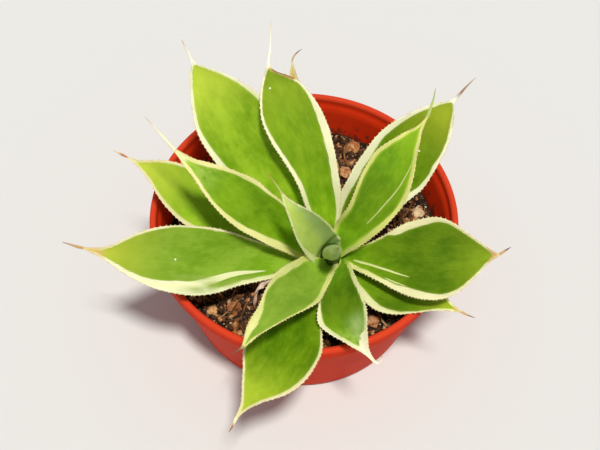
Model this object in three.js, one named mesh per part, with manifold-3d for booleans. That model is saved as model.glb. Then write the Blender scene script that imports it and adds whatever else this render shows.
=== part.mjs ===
// A young variegated agave in a shallow round plastic nursery pot.
// Units are millimetres, +Z is up. The origin is the centre of the pot's
// underside, so the part stands on z = 0. -Y is the side the rosette leans to.

import * as THREE from 'three';
import { mergeVertices } from 'three/addons/utils/BufferGeometryUtils.js';
import Module from 'manifold-3d';

const wasm = await Module();
wasm.setup();

// ---------------------------------------------------------------- dimensions
const POT_H = 72;            // height of the pot, floor to top of rim
const RIM_R = 75;            // outer radius of the rim
const RIM_W = 4;             // width of the rolled rim, seen from above
const RIM_DROP = 6.5;        // how far the rolled rim hangs down outside
const BASE_R = 59;           // outer radius of the pot at the floor
const POT_WALL = 1.8;        // wall thickness
const POT_FLOOR = 2.2;       // floor thickness
const DRAIN_R = 4.2;         // radius of a drainage hole
const DRAIN_RING = 36;       // radius of the ring the holes lie on
const POT_SIDES = 52;        // facets around the pot
const DRAIN_N = 6;           // number of drainage holes

const GAP = 0.3;             // clearance between neighbouring pieces
const SOIL_TOP = 47.8;       // height of the soil beside the stem

const CROWN = new THREE.Vector3(13, -7, 45);  // where the stem leaves the soil
const LEAN = THREE.MathUtils.degToRad(28);    // lean of the rosette towards -Y
const STEM_IN = 14;          // stem below the crown point, in the soil
const STEM_OUT = 25;         // stem above the crown point
const SPEAR_LEN = 50;        // rolled central leaf above the stem
const SPEAR_R = 3.9;         // its thickest radius

const LEAF_T = 3.3;          // leaf thickness on the midrib near the stem
const LEAF_T_TIP = 1.3;      // and near its tip
const SPINE_R = 0.75;        // radius at the root of a terminal spine

const AXIS = new THREE.Vector3(0, -Math.sin(LEAN), Math.cos(LEAN));

// ------------------------------------------------------------------- colours
const GREEN_OUTER = 0x86a83a;
const GREEN_INNER = 0x6f9455;
const TERRACOTTA = 0xb23a26;
const SOIL = 0x4a3a2c;
const BARK = 0x7a5638;
const PUMICE = [0xc9a27e, 0xb98a68, 0xd6b596, 0xa9835f];
const DRY = 0xd9b9a2;

const mat = (color, roughness = 0.5, metalness = 0) =>
  new THREE.MeshStandardMaterial({ color, roughness, metalness });

// ------------------------------------------------------------------- helpers
// Deterministic noise for natural shapes.
function rng(seed) {
  let s = seed >>> 0;
  return () => {
    s = (s * 1664525 + 1013904223) >>> 0;
    return s / 4294967296;
  };
}

// A closed geometry becomes a solid: only positions are kept and shared.
function toSolid(geometry) {
  const g = geometry.index ? geometry.clone() : geometry.clone();
  g.deleteAttribute('normal');
  g.deleteAttribute('uv');
  const m = mergeVertices(g, 1e-4);
  const pos = m.getAttribute('position');
  const tri = [];
  const idx = m.index.array;
  for (let i = 0; i < idx.length; i += 3) {
    const [a, b, c] = [idx[i], idx[i + 1], idx[i + 2]];
    if (a !== b && b !== c && a !== c) tri.push(a, b, c);
  }
  return new wasm.Manifold(new wasm.Mesh({
    numProp: 3,
    vertProperties: new Float32Array(pos.array),
    triVerts: new Uint32Array(tri),
  }));
}

// And back again, keeping the largest body only.
function fromSolid(solid) {
  const bodies = solid.decompose();
  let best = bodies[0];
  for (const b of bodies) if (b.volume() > best.volume()) best = b;
  const mesh = best.getMesh();
  const g = new THREE.BufferGeometry();
  const n = mesh.numProp;
  const v = new Float32Array((mesh.vertProperties.length / n) * 3);
  for (let i = 0; i < v.length / 3; i++) {
    for (let k = 0; k < 3; k++) v[3 * i + k] = mesh.vertProperties[n * i + k];
  }
  g.setAttribute('position', new THREE.BufferAttribute(v, 3));
  g.setIndex(new THREE.BufferAttribute(new Uint32Array(mesh.triVerts), 1));
  g.computeVertexNormals();
  return g;
}

// Skin a list of rings (each the same number of points) and close both ends.
function skin(rings) {
  const n = rings[0].length;
  const pos = [];
  for (const r of rings) for (const p of r) pos.push(p.x, p.y, p.z);
  const tri = [];
  for (let i = 0; i < rings.length - 1; i++) {
    for (let j = 0; j < n; j++) {
      const a = i * n + j;
      const b = i * n + ((j + 1) % n);
      tri.push(a, b, b + n, a, b + n, a + n);
    }
  }
  // the end caps run as a strip between the two sides of the ring
  const e = (rings.length - 1) * n;
  for (let k = 0; k < n / 2 - 1; k++) {
    const [a, b, c, d] = [k, k + 1, n - 2 - k, n - 1 - k];
    tri.push(c, b, a, d, c, a, e + a, e + b, e + c, e + a, e + c, e + d);
  }
  // turn the faces out if the skin came out inside-out
  let vol = 0;
  const P = (k) => new THREE.Vector3(pos[3 * k], pos[3 * k + 1], pos[3 * k + 2]);
  for (let k = 0; k < tri.length; k += 3) {
    vol += P(tri[k]).dot(P(tri[k + 1]).cross(P(tri[k + 2])));
  }
  if (vol < 0) for (let k = 0; k < tri.length; k += 3) [tri[k], tri[k + 1]] = [tri[k + 1], tri[k]];
  const g = new THREE.BufferGeometry();
  g.setAttribute('position', new THREE.Float32BufferAttribute(pos, 3));
  g.setIndex(tri);
  g.computeVertexNormals();
  return g;
}

// Linear lookup in a short table of [x, y] pairs.
function ramp(table, x) {
  for (let i = 1; i < table.length; i++) {
    if (x <= table[i][0]) {
      const [x0, y0] = table[i - 1];
      const [x1, y1] = table[i];
      return y0 + ((y1 - y0) * (x - x0)) / (x1 - x0);
    }
  }
  return table[table.length - 1][1];
}

// ----------------------------------------------------------------------- pot
// Turned profile: flat floor, tapered wall, rolled rim with a hanging lip.
function potGeometry() {
  const wallOut = (z) => BASE_R + ((RIM_R - 1.9 - BASE_R) * z) / (POT_H - RIM_DROP);
  const zl = POT_H - RIM_DROP;
  const p = [
    [0, 0],
    [BASE_R - 2.2, 0],
    [BASE_R - 0.6, 0.5],
    [BASE_R + 0.1, 2],
    [wallOut(zl / 2), zl / 2],
    [wallOut(zl), zl],
    [RIM_R - 0.4, zl],
    [RIM_R, zl + 0.5],
    [RIM_R, POT_H - 2],
    [RIM_R - 0.55, POT_H - 0.7],
    [RIM_R - RIM_W / 2, POT_H],
    [RIM_R - RIM_W + 0.55, POT_H - 0.7],
    [RIM_R - RIM_W, POT_H - 2.2],
    [wallOut(zl / 2) - POT_WALL, zl / 2],
    [BASE_R + 0.1 - POT_WALL, POT_FLOOR + 1.2],
    [BASE_R - 1.2 - POT_WALL, POT_FLOOR],
    [0, POT_FLOOR],
  ].map(([x, y]) => new THREE.Vector2(x, y));
  const g = new THREE.LatheGeometry(p, POT_SIDES);
  g.rotateX(Math.PI / 2);
  let s = toSolid(g);
  for (let i = 0; i < DRAIN_N; i++) {
    const a = ((i + 0.5) * 2 * Math.PI) / DRAIN_N;
    const hole = new THREE.CylinderGeometry(DRAIN_R, DRAIN_R, POT_FLOOR * 3, 16);
    hole.rotateX(Math.PI / 2);
    hole.translate(DRAIN_RING * Math.cos(a), DRAIN_RING * Math.sin(a), POT_FLOOR / 2);
    s = s.subtract(toSolid(hole));
  }
  return s;
}

// inner radius of the pot at a height
function potInner(z) {
  const zl = POT_H - RIM_DROP;
  const mid = BASE_R + (RIM_R - 1.9 - BASE_R) / 2 - POT_WALL;
  return ramp([
    [POT_FLOOR, BASE_R - 1.2 - POT_WALL],
    [POT_FLOOR + 1.2, BASE_R + 0.1 - POT_WALL],
    [zl / 2, mid],
    [POT_H - 2.2, RIM_R - RIM_W],
  ], z);
}

// ---------------------------------------------------------------------- soil
// Top of the soil: uneven, a little higher at the wall and on the right.
function soilZ(x, y) {
  const r = Math.hypot(x - CROWN.x, y - CROWN.y);
  const bumps = 0.7 * Math.sin(x * 0.21 + 1.3) * Math.cos(y * 0.17 - 0.4)
    + 0.4 * Math.sin(x * 0.43 - y * 0.31);
  return SOIL_TOP + 0.035 * Math.max(0, r - 12) + 0.03 * x + bumps;
}

function soilGeometry() {
  const seg = 32;
  const rings = [0.16, 0.32, 0.48, 0.64, 0.8, 0.91, 1];
  const wallR = (potInner(SOIL_TOP) - GAP) * Math.cos(Math.PI / POT_SIDES) - 0.05;
  const zb = POT_FLOOR + GAP;
  const rb = (potInner(zb) - GAP) * Math.cos(Math.PI / POT_SIDES) - 0.1;
  const pos = [[0, 0, soilZ(0, 0)]];
  for (const k of rings) {
    for (let i = 0; i < seg; i++) {
      const a = (i * 2 * Math.PI) / seg;
      const x = wallR * k * Math.cos(a);
      const y = wallR * k * Math.sin(a);
      pos.push([x, y, soilZ(x, y)]);
    }
  }
  const low = pos.length;
  for (let i = 0; i < seg; i++) {
    const a = (i * 2 * Math.PI) / seg;
    pos.push([rb * Math.cos(a), rb * Math.sin(a), zb]);
  }
  const bottom = pos.length;
  pos.push([0, 0, zb]);
  const tri = [];
  for (let i = 0; i < seg; i++) {
    const j = (i + 1) % seg;
    tri.push(0, 1 + i, 1 + j);
    for (let k = 0; k < rings.length - 1; k++) {
      const a = 1 + k * seg;
      tri.push(a + i, a + seg + i, a + seg + j, a + i, a + seg + j, a + j);
    }
    const o = 1 + (rings.length - 1) * seg;
    tri.push(o + i, low + i, low + j, o + i, low + j, o + j);
    tri.push(bottom, low + j, low + i);
  }
  const g = new THREE.BufferGeometry();
  g.setAttribute('position', new THREE.Float32BufferAttribute(pos.flat(), 3));
  g.setIndex(tri);
  return toSolid(g);
}

// ------------------------------------------------------------ stem and spear
// Both are turned about the leaning axis of the rosette.
function turned(profile, segments) {
  const g = new THREE.LatheGeometry(profile.map(([r, h]) => new THREE.Vector2(r, h)), segments);
  g.rotateX(Math.PI / 2);
  g.rotateX(LEAN);
  g.translate(CROWN.x, CROWN.y, CROWN.z);
  return toSolid(g);
}

function stemSolid(grow = 0) {
  return turned([
    [0, -STEM_IN - grow],
    [6.5 + grow, -STEM_IN - grow],
    [9 + grow, -STEM_IN + 4],
    [9.2 + grow, 2],
    [8 + grow, 10],
    [6.2 + grow, 18],
    [4.6 + grow, STEM_OUT + grow],
    [0, STEM_OUT + grow],
  ], 20);
}

// The youngest leaf is still rolled into a cone.
function spearSolid(grow = 0) {
  const a = STEM_OUT + GAP - grow;
  return turned([
    [0, a],
    [SPEAR_R * 0.82 + grow, a],
    [SPEAR_R + grow, a + SPEAR_LEN * 0.25],
    [SPEAR_R * 0.98 + grow, a + SPEAR_LEN * 0.5],
    [SPEAR_R * 0.78 + grow, a + SPEAR_LEN * 0.74],
    [SPEAR_R * 0.4 + grow, a + SPEAR_LEN * 0.9],
    [0.45 + grow, a + SPEAR_LEN],
    [0, a + SPEAR_LEN + 1.5 + grow],
  ], 18);
}

// -------------------------------------------------------------------- leaves
// Each leaf is set out by its two margins: stations from the stem to the tip,
// [left x, y, z, right x, y, z], and then points along its terminal spine.
// Leaves are listed from the innermost to the outermost.
const LEAVES = [
  { name: 'leaf_01', channel: 1,
    edges: [
      [18.4, -10.4, 65.6, 9.2, -22.5, 59.1], [16.7, -10.5, 69.5, 6.6, -23.1, 62.8],
      [14.4, -13.7, 79.2, 3.5, -26.4, 72.4], [11.5, -17.1, 89.4, 0.6, -28.7, 83.2],
      [8.3, -20.1, 99.0, -2.0, -30.4, 93.5], [5.1, -22.6, 107.0, -4.1, -31.1, 102.5],
      [1.6, -24.7, 113.5, -5.6, -31.0, 110.1], [-1.8, -26.2, 118.5, -6.9, -30.5, 116.2],
      [-4.8, -27.1, 122.6, -8.1, -29.9, 121.1], [-6.9, -27.3, 125.6, -9.1, -29.1, 124.6],
      [-8.1, -27.2, 127.3, -9.7, -28.5, 126.6], [-8.8, -27.0, 128.2, -9.9, -28.0, 127.8],
    ],
    spine: [[-12.2, -26.3, 133.7], [-15.2, -25.2, 139.1], [-17.5, -24.4, 143.3]] },
  { name: 'leaf_02', channel: 1,
    edges: [
      [6.2, -17.6, 65.0, 17.8, -15.3, 54.2], [2.1, -23.1, 72.1, 16.3, -24.4, 61.2],
      [-2.6, -31.0, 80.9, 13.7, -35.2, 69.8], [-7.8, -40.2, 90.4, 10.6, -47.1, 78.6],
      [-12.4, -50.1, 98.7, 5.9, -58.1, 87.5], [-15.5, -59.6, 104.7, -0.3, -66.0, 95.6],
      [-17.3, -68.6, 108.5, -6.3, -73.3, 102.6], [-19.8, -76.0, 111.8, -11.4, -79.5, 107.8],
      [-22.0, -82.2, 114.2, -15.9, -84.7, 111.6], [-23.0, -87.1, 115.4, -19.1, -88.9, 114.0],
      [-23.4, -90.1, 115.9, -21.0, -91.5, 115.2], [-23.6, -91.9, 116.1, -22.1, -93.0, 115.8],
    ],
    spine: [[-24.6, -94.8, 116.9], [-26.5, -96.9, 117.9], [-28.3, -98.9, 118.8]] },
  { name: 'leaf_03', channel: 1,
    edges: [
      [19.0, -17.2, 60.4, 13.3, -9.8, 66.5], [23.5, -18.3, 68.6, 14.2, -8.9, 75.1],
      [29.2, -19.3, 78.0, 17.7, -9.5, 86.2], [35.3, -19.3, 89.0, 21.2, -9.4, 98.8],
      [41.1, -18.3, 100.4, 23.6, -7.9, 111.1], [45.2, -16.3, 111.6, 26.6, -6.0, 121.8],
      [47.1, -13.0, 122.5, 30.7, -3.9, 130.9], [47.8, -9.6, 131.7, 36.3, -2.9, 137.1],
      [48.4, -6.1, 139.4, 41.8, -2.1, 141.9], [49.1, -3.1, 145.1, 46.3, -1.6, 145.4],
      [50.2, -1.3, 148.3, 48.6, -0.7, 148.0], [51.0, -0.2, 150.2, 49.8, -0.1, 149.6],
    ],
    spine: [[51.6, 2.1, 153.5], [52.6, 4.2, 157.0], [53.1, 7.2, 161.3]] },
  { name: 'leaf_04', channel: 1,
    edges: [
      [9.1, -13.2, 63.5, 6.4, -19.2, 58.1], [5.2, -12.6, 71.4, 0.3, -21.8, 64.7],
      [0.1, -11.9, 81.3, -7.1, -24.0, 73.7], [-6.3, -11.3, 92.5, -15.7, -26.2, 84.0],
      [-13.8, -11.2, 103.5, -24.4, -27.4, 94.5], [-21.0, -10.5, 113.3, -32.4, -27.4, 104.1],
      [-29.4, -11.3, 121.1, -39.2, -25.5, 113.3], [-37.2, -12.3, 127.0, -44.4, -22.6, 121.2],
      [-44.4, -13.2, 131.5, -48.7, -19.4, 127.9], [-50.0, -13.4, 134.8, -52.4, -16.8, 132.9],
      [-53.2, -12.9, 137.1, -54.6, -15.1, 135.8], [-55.1, -12.6, 138.5, -55.9, -14.0, 137.5],
    ],
    spine: [[-59.2, -11.3, 141.9], [-63.7, -8.6, 147.0], [-68.5, -5.9, 152.2]] },
  { name: 'leaf_05', channel: 1,
    edges: [
      [11.5, -19.3, 60.7, 21.8, -14.6, 57.1], [10.7, -26.1, 63.8, 23.0, -20.1, 59.9],
      [9.6, -34.8, 68.2, 24.4, -27.7, 64.5], [8.4, -44.8, 72.7, 26.2, -36.6, 70.1],
      [7.3, -54.6, 76.3, 27.8, -46.1, 75.9], [8.1, -63.6, 78.9, 29.1, -55.1, 81.1],
      [13.3, -69.4, 81.0, 29.3, -63.4, 84.7], [18.7, -73.8, 83.1, 29.2, -70.2, 86.6],
      [23.5, -77.8, 85.1, 29.4, -75.8, 87.5], [27.3, -80.8, 86.7, 29.9, -79.9, 87.8],
      [29.4, -83.1, 87.4, 31.0, -82.3, 88.1], [30.6, -84.4, 87.7, 31.7, -83.7, 88.3],
    ],
    spine: [[33.1, -86.0, 88.7], [34.7, -85.1, 89.5], [35.0, -82.0, 89.9]] },
  { name: 'leaf_06', channel: 1,
    edges: [
      [15.9, -9.0, 62.6, 7.6, -9.5, 61.9], [16.4, -6.4, 71.4, 5.0, -7.8, 70.5],
      [17.0, -2.8, 81.8, 1.8, -5.7, 81.0], [16.0, 1.6, 93.8, -1.8, -2.8, 93.2],
      [14.2, 6.7, 106.0, -6.7, 0.3, 105.0], [11.4, 11.8, 117.2, -12.4, 3.4, 115.4],
      [7.4, 16.7, 127.6, -17.6, 7.0, 125.0], [2.2, 20.6, 136.1, -20.7, 11.4, 133.3],
      [-4.1, 23.4, 142.8, -21.2, 16.4, 140.3], [-10.3, 24.3, 146.4, -20.3, 20.7, 145.3],
      [-14.5, 24.5, 148.1, -19.4, 23.4, 148.3], [-16.7, 25.1, 149.6, -18.5, 25.0, 149.9],
    ],
    spine: [[-17.3, 29.8, 155.4], [-17.2, 33.9, 160.4], [-17.2, 38.1, 165.6]] },
  { name: 'leaf_07', channel: 1,
    edges: [
      [21.0, -20.0, 58.5, 22.3, -14.3, 62.4], [25.8, -26.2, 63.2, 27.1, -15.8, 69.2],
      [32.2, -33.1, 69.3, 33.1, -17.4, 77.4], [39.6, -41.1, 75.1, 40.1, -18.5, 86.8],
      [47.8, -48.5, 81.1, 47.2, -18.7, 96.1], [56.3, -53.8, 87.4, 55.1, -21.1, 104.4],
      [64.7, -55.9, 94.3, 62.9, -25.6, 110.3], [71.1, -54.0, 100.8, 69.3, -31.7, 112.7],
      [75.9, -50.8, 106.4, 74.7, -37.2, 113.8], [79.5, -47.9, 110.7, 79.0, -41.4, 114.4],
      [82.3, -46.8, 113.3, 81.8, -43.8, 114.8], [84.0, -46.2, 114.8, 83.6, -45.0, 115.2],
    ],
    spine: [[85.2, -45.2, 116.1], [86.7, -44.7, 117.4], [88.6, -44.1, 119.1]] },
  { name: 'leaf_08', channel: 1,
    edges: [
      [21.5, -11.7, 57.9, 14.7, -6.6, 66.1], [26.5, -11.5, 65.0, 14.1, -3.5, 73.2],
      [32.6, -11.2, 74.1, 15.2, 0.1, 82.6], [39.3, -10.2, 84.9, 19.0, 3.7, 93.5],
      [46.3, -8.5, 95.9, 23.4, 7.6, 104.6], [53.3, -6.7, 105.8, 28.8, 11.1, 114.8],
      [58.0, -2.9, 115.6, 35.3, 13.9, 124.0], [61.6, 1.4, 124.0, 42.7, 15.2, 130.9],
      [63.7, 6.0, 131.2, 49.9, 15.9, 136.2], [64.4, 10.2, 136.6, 55.9, 16.1, 139.6],
      [64.3, 12.9, 139.9, 59.8, 16.0, 141.4], [63.7, 14.6, 141.6, 62.1, 15.8, 142.2],
    ],
    spine: [[65.2, 16.5, 144.5], [68.4, 18.7, 148.6], [72.2, 20.7, 152.8]] },
  { name: 'leaf_09', channel: 1,
    edges: [
      [1.5, -18.0, 58.7, 0.3, -24.1, 56.6], [-5.8, -18.7, 65.0, -7.3, -28.8, 61.0],
      [-15.1, -19.7, 72.9, -16.8, -34.5, 66.5], [-26.2, -20.8, 81.8, -28.0, -41.3, 72.7],
      [-38.1, -22.2, 90.5, -39.6, -48.8, 77.9], [-50.0, -25.2, 97.7, -51.5, -53.4, 83.9],
      [-61.6, -29.3, 103.4, -63.1, -54.8, 90.5], [-71.8, -34.5, 106.7, -73.0, -53.7, 96.6],
      [-80.2, -40.4, 108.0, -81.3, -51.2, 102.3], [-87.1, -44.6, 109.0, -87.7, -48.8, 106.8],
      [-91.8, -45.7, 110.4, -92.0, -47.8, 109.3], [-94.6, -46.2, 111.3, -94.5, -47.2, 110.7],
    ],
    spine: [[-97.8, -46.7, 112.4], [-100.6, -46.5, 113.7], [-103.8, -46.3, 115.3]] },
  { name: 'leaf_10', channel: 1,
    edges: [
      [10.7, -2.6, 68.6, -5.0, -13.6, 63.2], [7.1, -0.3, 76.9, -10.0, -12.1, 71.0],
      [2.9, 2.9, 87.0, -16.6, -10.3, 80.3], [-1.9, 7.2, 98.7, -24.5, -8.0, 90.9],
      [-7.2, 11.9, 110.5, -32.7, -5.1, 101.8], [-12.9, 16.5, 121.4, -40.1, -1.4, 112.1],
      [-19.2, 21.0, 131.3, -46.5, 3.1, 122.0], [-27.2, 23.6, 138.6, -50.2, 8.5, 131.0],
      [-35.4, 24.9, 143.9, -51.5, 14.4, 138.7], [-42.3, 25.3, 147.2, -51.9, 19.4, 144.5],
      [-46.7, 25.6, 149.2, -52.0, 22.6, 148.0], [-49.3, 25.5, 150.2, -51.3, 24.6, 149.9],
    ],
    spine: [[-52.1, 27.4, 153.2], [-53.8, 29.3, 155.9], [-55.7, 31.5, 159.0]] },
  { name: 'leaf_11', channel: 0.65,
    edges: [
      [5.0, -19.4, 56.4, 15.4, -18.0, 52.8], [0.1, -26.3, 61.2, 13.5, -29.2, 59.3],
      [-5.4, -35.5, 66.6, 11.4, -42.5, 66.3], [-11.4, -46.5, 72.1, 9.8, -57.2, 72.8],
      [-17.3, -57.8, 77.0, 9.9, -71.5, 77.6], [-22.4, -68.9, 81.3, 7.1, -84.2, 81.2],
      [-25.0, -80.4, 84.7, 1.2, -94.4, 83.5], [-24.5, -90.6, 86.6, -6.5, -100.5, 84.8],
      [-24.4, -99.3, 87.4, -14.3, -104.2, 85.8], [-24.5, -105.9, 87.4, -20.2, -107.6, 86.6],
      [-25.5, -109.7, 87.2, -23.5, -110.4, 86.9], [-26.4, -111.8, 87.1, -25.2, -112.3, 86.9],
    ],
    spine: [[-26.7, -114.2, 86.9], [-27.6, -116.6, 86.8], [-28.7, -118.9, 86.8]] },
  { name: 'leaf_12', channel: 0.8,
    edges: [
      [20.2, -22.0, 56.1, 20.7, -10.4, 53.8], [22.3, -27.9, 58.2, 25.3, -12.3, 57.3],
      [25.2, -34.7, 60.2, 31.1, -15.3, 62.1], [29.5, -42.2, 62.4, 37.9, -19.4, 67.8],
      [35.5, -48.6, 65.4, 45.1, -23.7, 73.3], [42.7, -52.0, 69.2, 52.0, -28.8, 77.6],
      [49.9, -53.5, 73.2, 57.8, -34.9, 80.1], [56.4, -54.2, 76.5, 61.6, -41.5, 80.8],
      [62.3, -54.6, 79.1, 64.7, -47.6, 81.1], [67.1, -55.6, 80.8, 67.9, -51.8, 81.5],
      [70.0, -56.4, 81.5, 70.0, -54.3, 81.9], [71.8, -56.9, 81.9, 71.4, -55.7, 82.0],
    ],
    spine: [[73.5, -57.6, 82.4], [75.6, -58.9, 82.8], [77.7, -60.1, 83.3]] },
  { name: 'leaf_13', channel: 1,
    edges: [
      [1.9, -9.7, 55.3, -1.2, -18.5, 50.6], [-4.2, -8.3, 60.1, -8.5, -19.5, 53.9],
      [-11.4, -5.8, 66.4, -17.5, -20.0, 58.4], [-19.8, -2.4, 73.9, -28.1, -19.6, 64.1],
      [-29.3, 0.9, 81.5, -39.3, -18.4, 70.4], [-39.0, 3.8, 88.4, -49.9, -16.2, 76.8],
      [-49.0, 6.4, 94.5, -59.5, -12.7, 83.4], [-58.6, 8.0, 99.1, -66.8, -7.6, 90.0],
      [-67.8, 7.7, 101.8, -72.0, -1.8, 96.2], [-75.2, 6.4, 103.1, -76.7, 2.5, 100.8],
      [-79.8, 6.2, 104.2, -80.1, 4.8, 103.4], [-82.4, 6.5, 105.2, -82.4, 5.9, 104.8],
    ],
    spine: [[-84.2, 6.7, 105.9], [-86.9, 7.4, 107.2], [-89.2, 7.8, 108.1]] },
  { name: 'leaf_14', channel: 1,
    edges: [
      [17.1, -5.3, 56.5, 7.8, -6.6, 55.3], [18.2, -1.6, 62.7, 4.7, -3.7, 61.4],
      [18.4, 3.3, 70.5, 1.3, 0.3, 69.2], [17.3, 9.2, 79.7, -2.1, 5.5, 78.4],
      [15.1, 15.7, 89.2, -5.3, 11.4, 87.8], [12.5, 22.2, 98.2, -8.3, 17.6, 96.7],
      [9.1, 28.5, 106.6, -10.7, 24.3, 105.1], [3.8, 33.6, 113.3, -11.4, 30.7, 112.3],
      [-1.7, 38.1, 118.8, -10.4, 36.8, 118.5], [-5.3, 42.1, 123.2, -9.3, 41.8, 123.2],
      [-6.7, 45.0, 126.1, -8.6, 44.9, 126.1], [-7.6, 46.8, 127.8, -8.3, 46.8, 127.8],
    ],
    spine: [[-7.6, 48.5, 129.4], [-6.0, 50.2, 131.0], [-3.5, 51.7, 132.2]] },
];

// depth of the channel as a share of the width, from base to tip
const CHANNEL = [[0, 0.30], [0.25, 0.20], [0.6, 0.15], [1, 0.12]];
// places across the leaf: upper face from left to right, then the back
const TOP = [-1, -0.55, 0, 0.55, 1];
const BACK = [1, 0.6, 0, -0.6, -1];
const ROUND = [180, 144, 108, 72, 36, 0, -36, -72, -108, -144].map(THREE.MathUtils.degToRad);

function leafSolid(leaf, grow = 0, lift = 0) {
  const L = leaf.edges.map((e) => new THREE.Vector3(e[0], e[1], e[2]));
  const R = leaf.edges.map((e) => new THREE.Vector3(e[3], e[4], e[5]));
  const n = L.length;
  const M = L.map((p, i) => p.clone().add(R[i]).multiplyScalar(0.5));
  const len = [0];
  for (let i = 1; i < n; i++) len.push(len[i - 1] + M[i].distanceTo(M[i - 1]));

  const ring = (l, r, t, u, thick) => {  // one section, from margin to margin
    const m = l.clone().add(r).multiplyScalar(0.5);
    const across = r.clone().sub(l);
    const w = across.length();
    across.normalize();
    const up = t.clone().cross(across).normalize();
    if (up.dot(AXIS) < 0) up.negate();
    const cup = ramp(CHANNEL, u) * leaf.channel * w;
    const half = w / 2 + grow * 1.5;
    const at = (v, off) => m.clone().addScaledVector(across, half * v)
      .addScaledVector(up, off - cup * (1 - v * v));
    return [
      ...TOP.map((v) => at(v, grow)),
      ...BACK.map((v) => at(v, -grow - thick * (1 - 0.82 * Math.abs(v) ** 1.6))),
    ];
  };

  const tangent = (i) => {
    const a = M[Math.max(0, i - 1)];
    const b = M[Math.min(n - 1, i + 1)];
    return b.clone().sub(a).normalize();
  };

  const rings = [];
  // the base runs on towards the axis; the stem then trims it
  const t0 = M[2].clone().sub(M[0]).normalize();
  const fromAxis = M[0].clone().sub(CROWN);
  fromAxis.addScaledVector(AXIS, -fromAxis.dot(AXIS));
  const flat = t0.clone().addScaledVector(AXIS, -t0.dot(AXIS)).length();
  const back = Math.min(14, Math.max(0.5, fromAxis.length() - 2.5) / flat) + grow * 3;
  rings.push(ring(L[0].clone().addScaledVector(t0, -back), R[0].clone().addScaledVector(t0, -back), t0, 0, LEAF_T));
  for (let i = 0; i < n; i++) {
    const u = len[i] / len[n - 1];
    const w = L[i].distanceTo(R[i]);
    const thick = Math.min(ramp([[0, LEAF_T], [0.35, 2.5], [1, LEAF_T_TIP]], u), w * 0.5);
    rings.push(ring(L[i], R[i], i === 0 ? t0 : tangent(i), u, thick));
  }
  // terminal spine
  const S = leaf.spine.map((p) => new THREE.Vector3(...p));
  let prev = M[n - 1];
  const side = R[n - 1].clone().sub(L[n - 1]);
  S.forEach((p, j) => {
    const t = p.clone().sub(prev).normalize();
    const b = side.clone().addScaledVector(t, -side.dot(t)).normalize();
    const up = t.clone().cross(b).normalize();
    if (up.dot(AXIS) < 0) up.negate();
    const r = SPINE_R * (1 - (j + 1) / (S.length + 0.25)) + 0.1 + grow;
    rings.push(ROUND.map((a) => p.clone()
      .addScaledVector(b, r * Math.cos(a)).addScaledVector(up, r * Math.sin(a))));
    prev = p;
  });
  // a lifted copy lies a little off the blade, above it or behind it
  const across0 = R[0].clone().sub(L[0]);
  const lift0 = t0.clone().cross(across0).normalize().multiplyScalar(lift);
  for (const section of rings) for (const p of section) p.add(lift0);
  return toSolid(skin(rings));
}

// --------------------------------------------------- withered leaf at the base
// A narrow dry strip that comes out low beside the stem and curls to the soil.
const DRY_PATH = [
  [-2.0, -19.0, 57.5], [-8.5, -25.6, 60.6], [-14, -31.4, 62.8], [-18.1, -34.7, 63.4],
  [-21.3, -37.8, 61.6], [-22.4, -39.9, 57.4], [-22.6, -42.4, 51.6],
];
const DRY_W = [1.2, 1.8, 2.0, 1.9, 1.6, 1.3, 0.7];
function drySolid(grow = 0) {
  const curve = new THREE.CatmullRomCurve3(DRY_PATH.map((p) => new THREE.Vector3(...p)));
  const rings = [];
  const steps = 14;
  for (let i = 0; i <= steps; i++) {
    const u = i / steps;
    const p = curve.getPoint(u);
    const t = curve.getTangent(u);
    const b = new THREE.Vector3(0.55, 0.8, 0.25);
    b.addScaledVector(t, -b.dot(t)).normalize();
    const up = t.clone().cross(b);
    const w = ramp(DRY_W.map((v, k) => [k / (DRY_W.length - 1), v]), u) + grow;
    const h = 0.45 + grow;
    rings.push([[-1, 0], [0, 1], [1, 0], [0, -1]].map(([x, y]) => p.clone()
      .addScaledVector(b, w * x).addScaledVector(up, h * y)));
  }
  return toSolid(skin(rings));
}

// ------------------------------------------------------- pumice and bark chips
// [x, y, width, depth, height, turn in degrees]
const PEBBLES = [
  [25.2, 54.6, 8.4, 7.4, 6.0, 20],
  [20.6, 39.2, 7.6, 7.0, 6.2, 75],
  [57.6, 14.5, 8.6, 7.2, 6.2, 10],
  [34.9, -46.6, 7.4, 7.8, 6.0, 40],
  [-42.8, -43.0, 7.0, 6.0, 4.6, 60],
  [-32.5, -40.2, 8.6, 6.4, 5.0, 15],
  [49.8, 21.5, 5.6, 5.0, 4.2, 30],
  [30.6, 46.2, 6.0, 5.2, 4.4, 0],
  [-20.5, 54.0, 7.8, 6.6, 5.4, 50],
  [-46.0, 33.0, 7.0, 7.6, 5.2, 25],
  [-58.0, 4.0, 6.4, 5.6, 4.4, 70],
  [-12.0, -56.0, 7.6, 6.2, 5.0, 35],
  [12.0, -59.5, 6.2, 6.8, 4.8, 5],
  [54.0, -24.5, 6.8, 6.0, 4.8, 45],
  [42.5, 37.0, 7.0, 6.2, 5.0, 80],
];
const CHIPS = [
  // [x, y, length, width, thickness, turn, pitch]
  [15.8, 52.4, 12, 5.2, 2.2, 70, 8],
  [-39.5, -30.0, 12, 5.0, 2.0, 25, -6],
  [-25.0, -52.0, 11, 4.6, 2.0, -35, 7],
  [44.5, -39.5, 10, 4.8, 2.0, 60, 5],
  [54.0, 30.0, 9.0, 4.4, 2.0, -60, -7],
  [-8.0, 44.0, 12, 5.0, 2.2, 15, 5],
  [-34.5, 46.0, 10.5, 4.6, 2.0, -50, -5],
];

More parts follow.
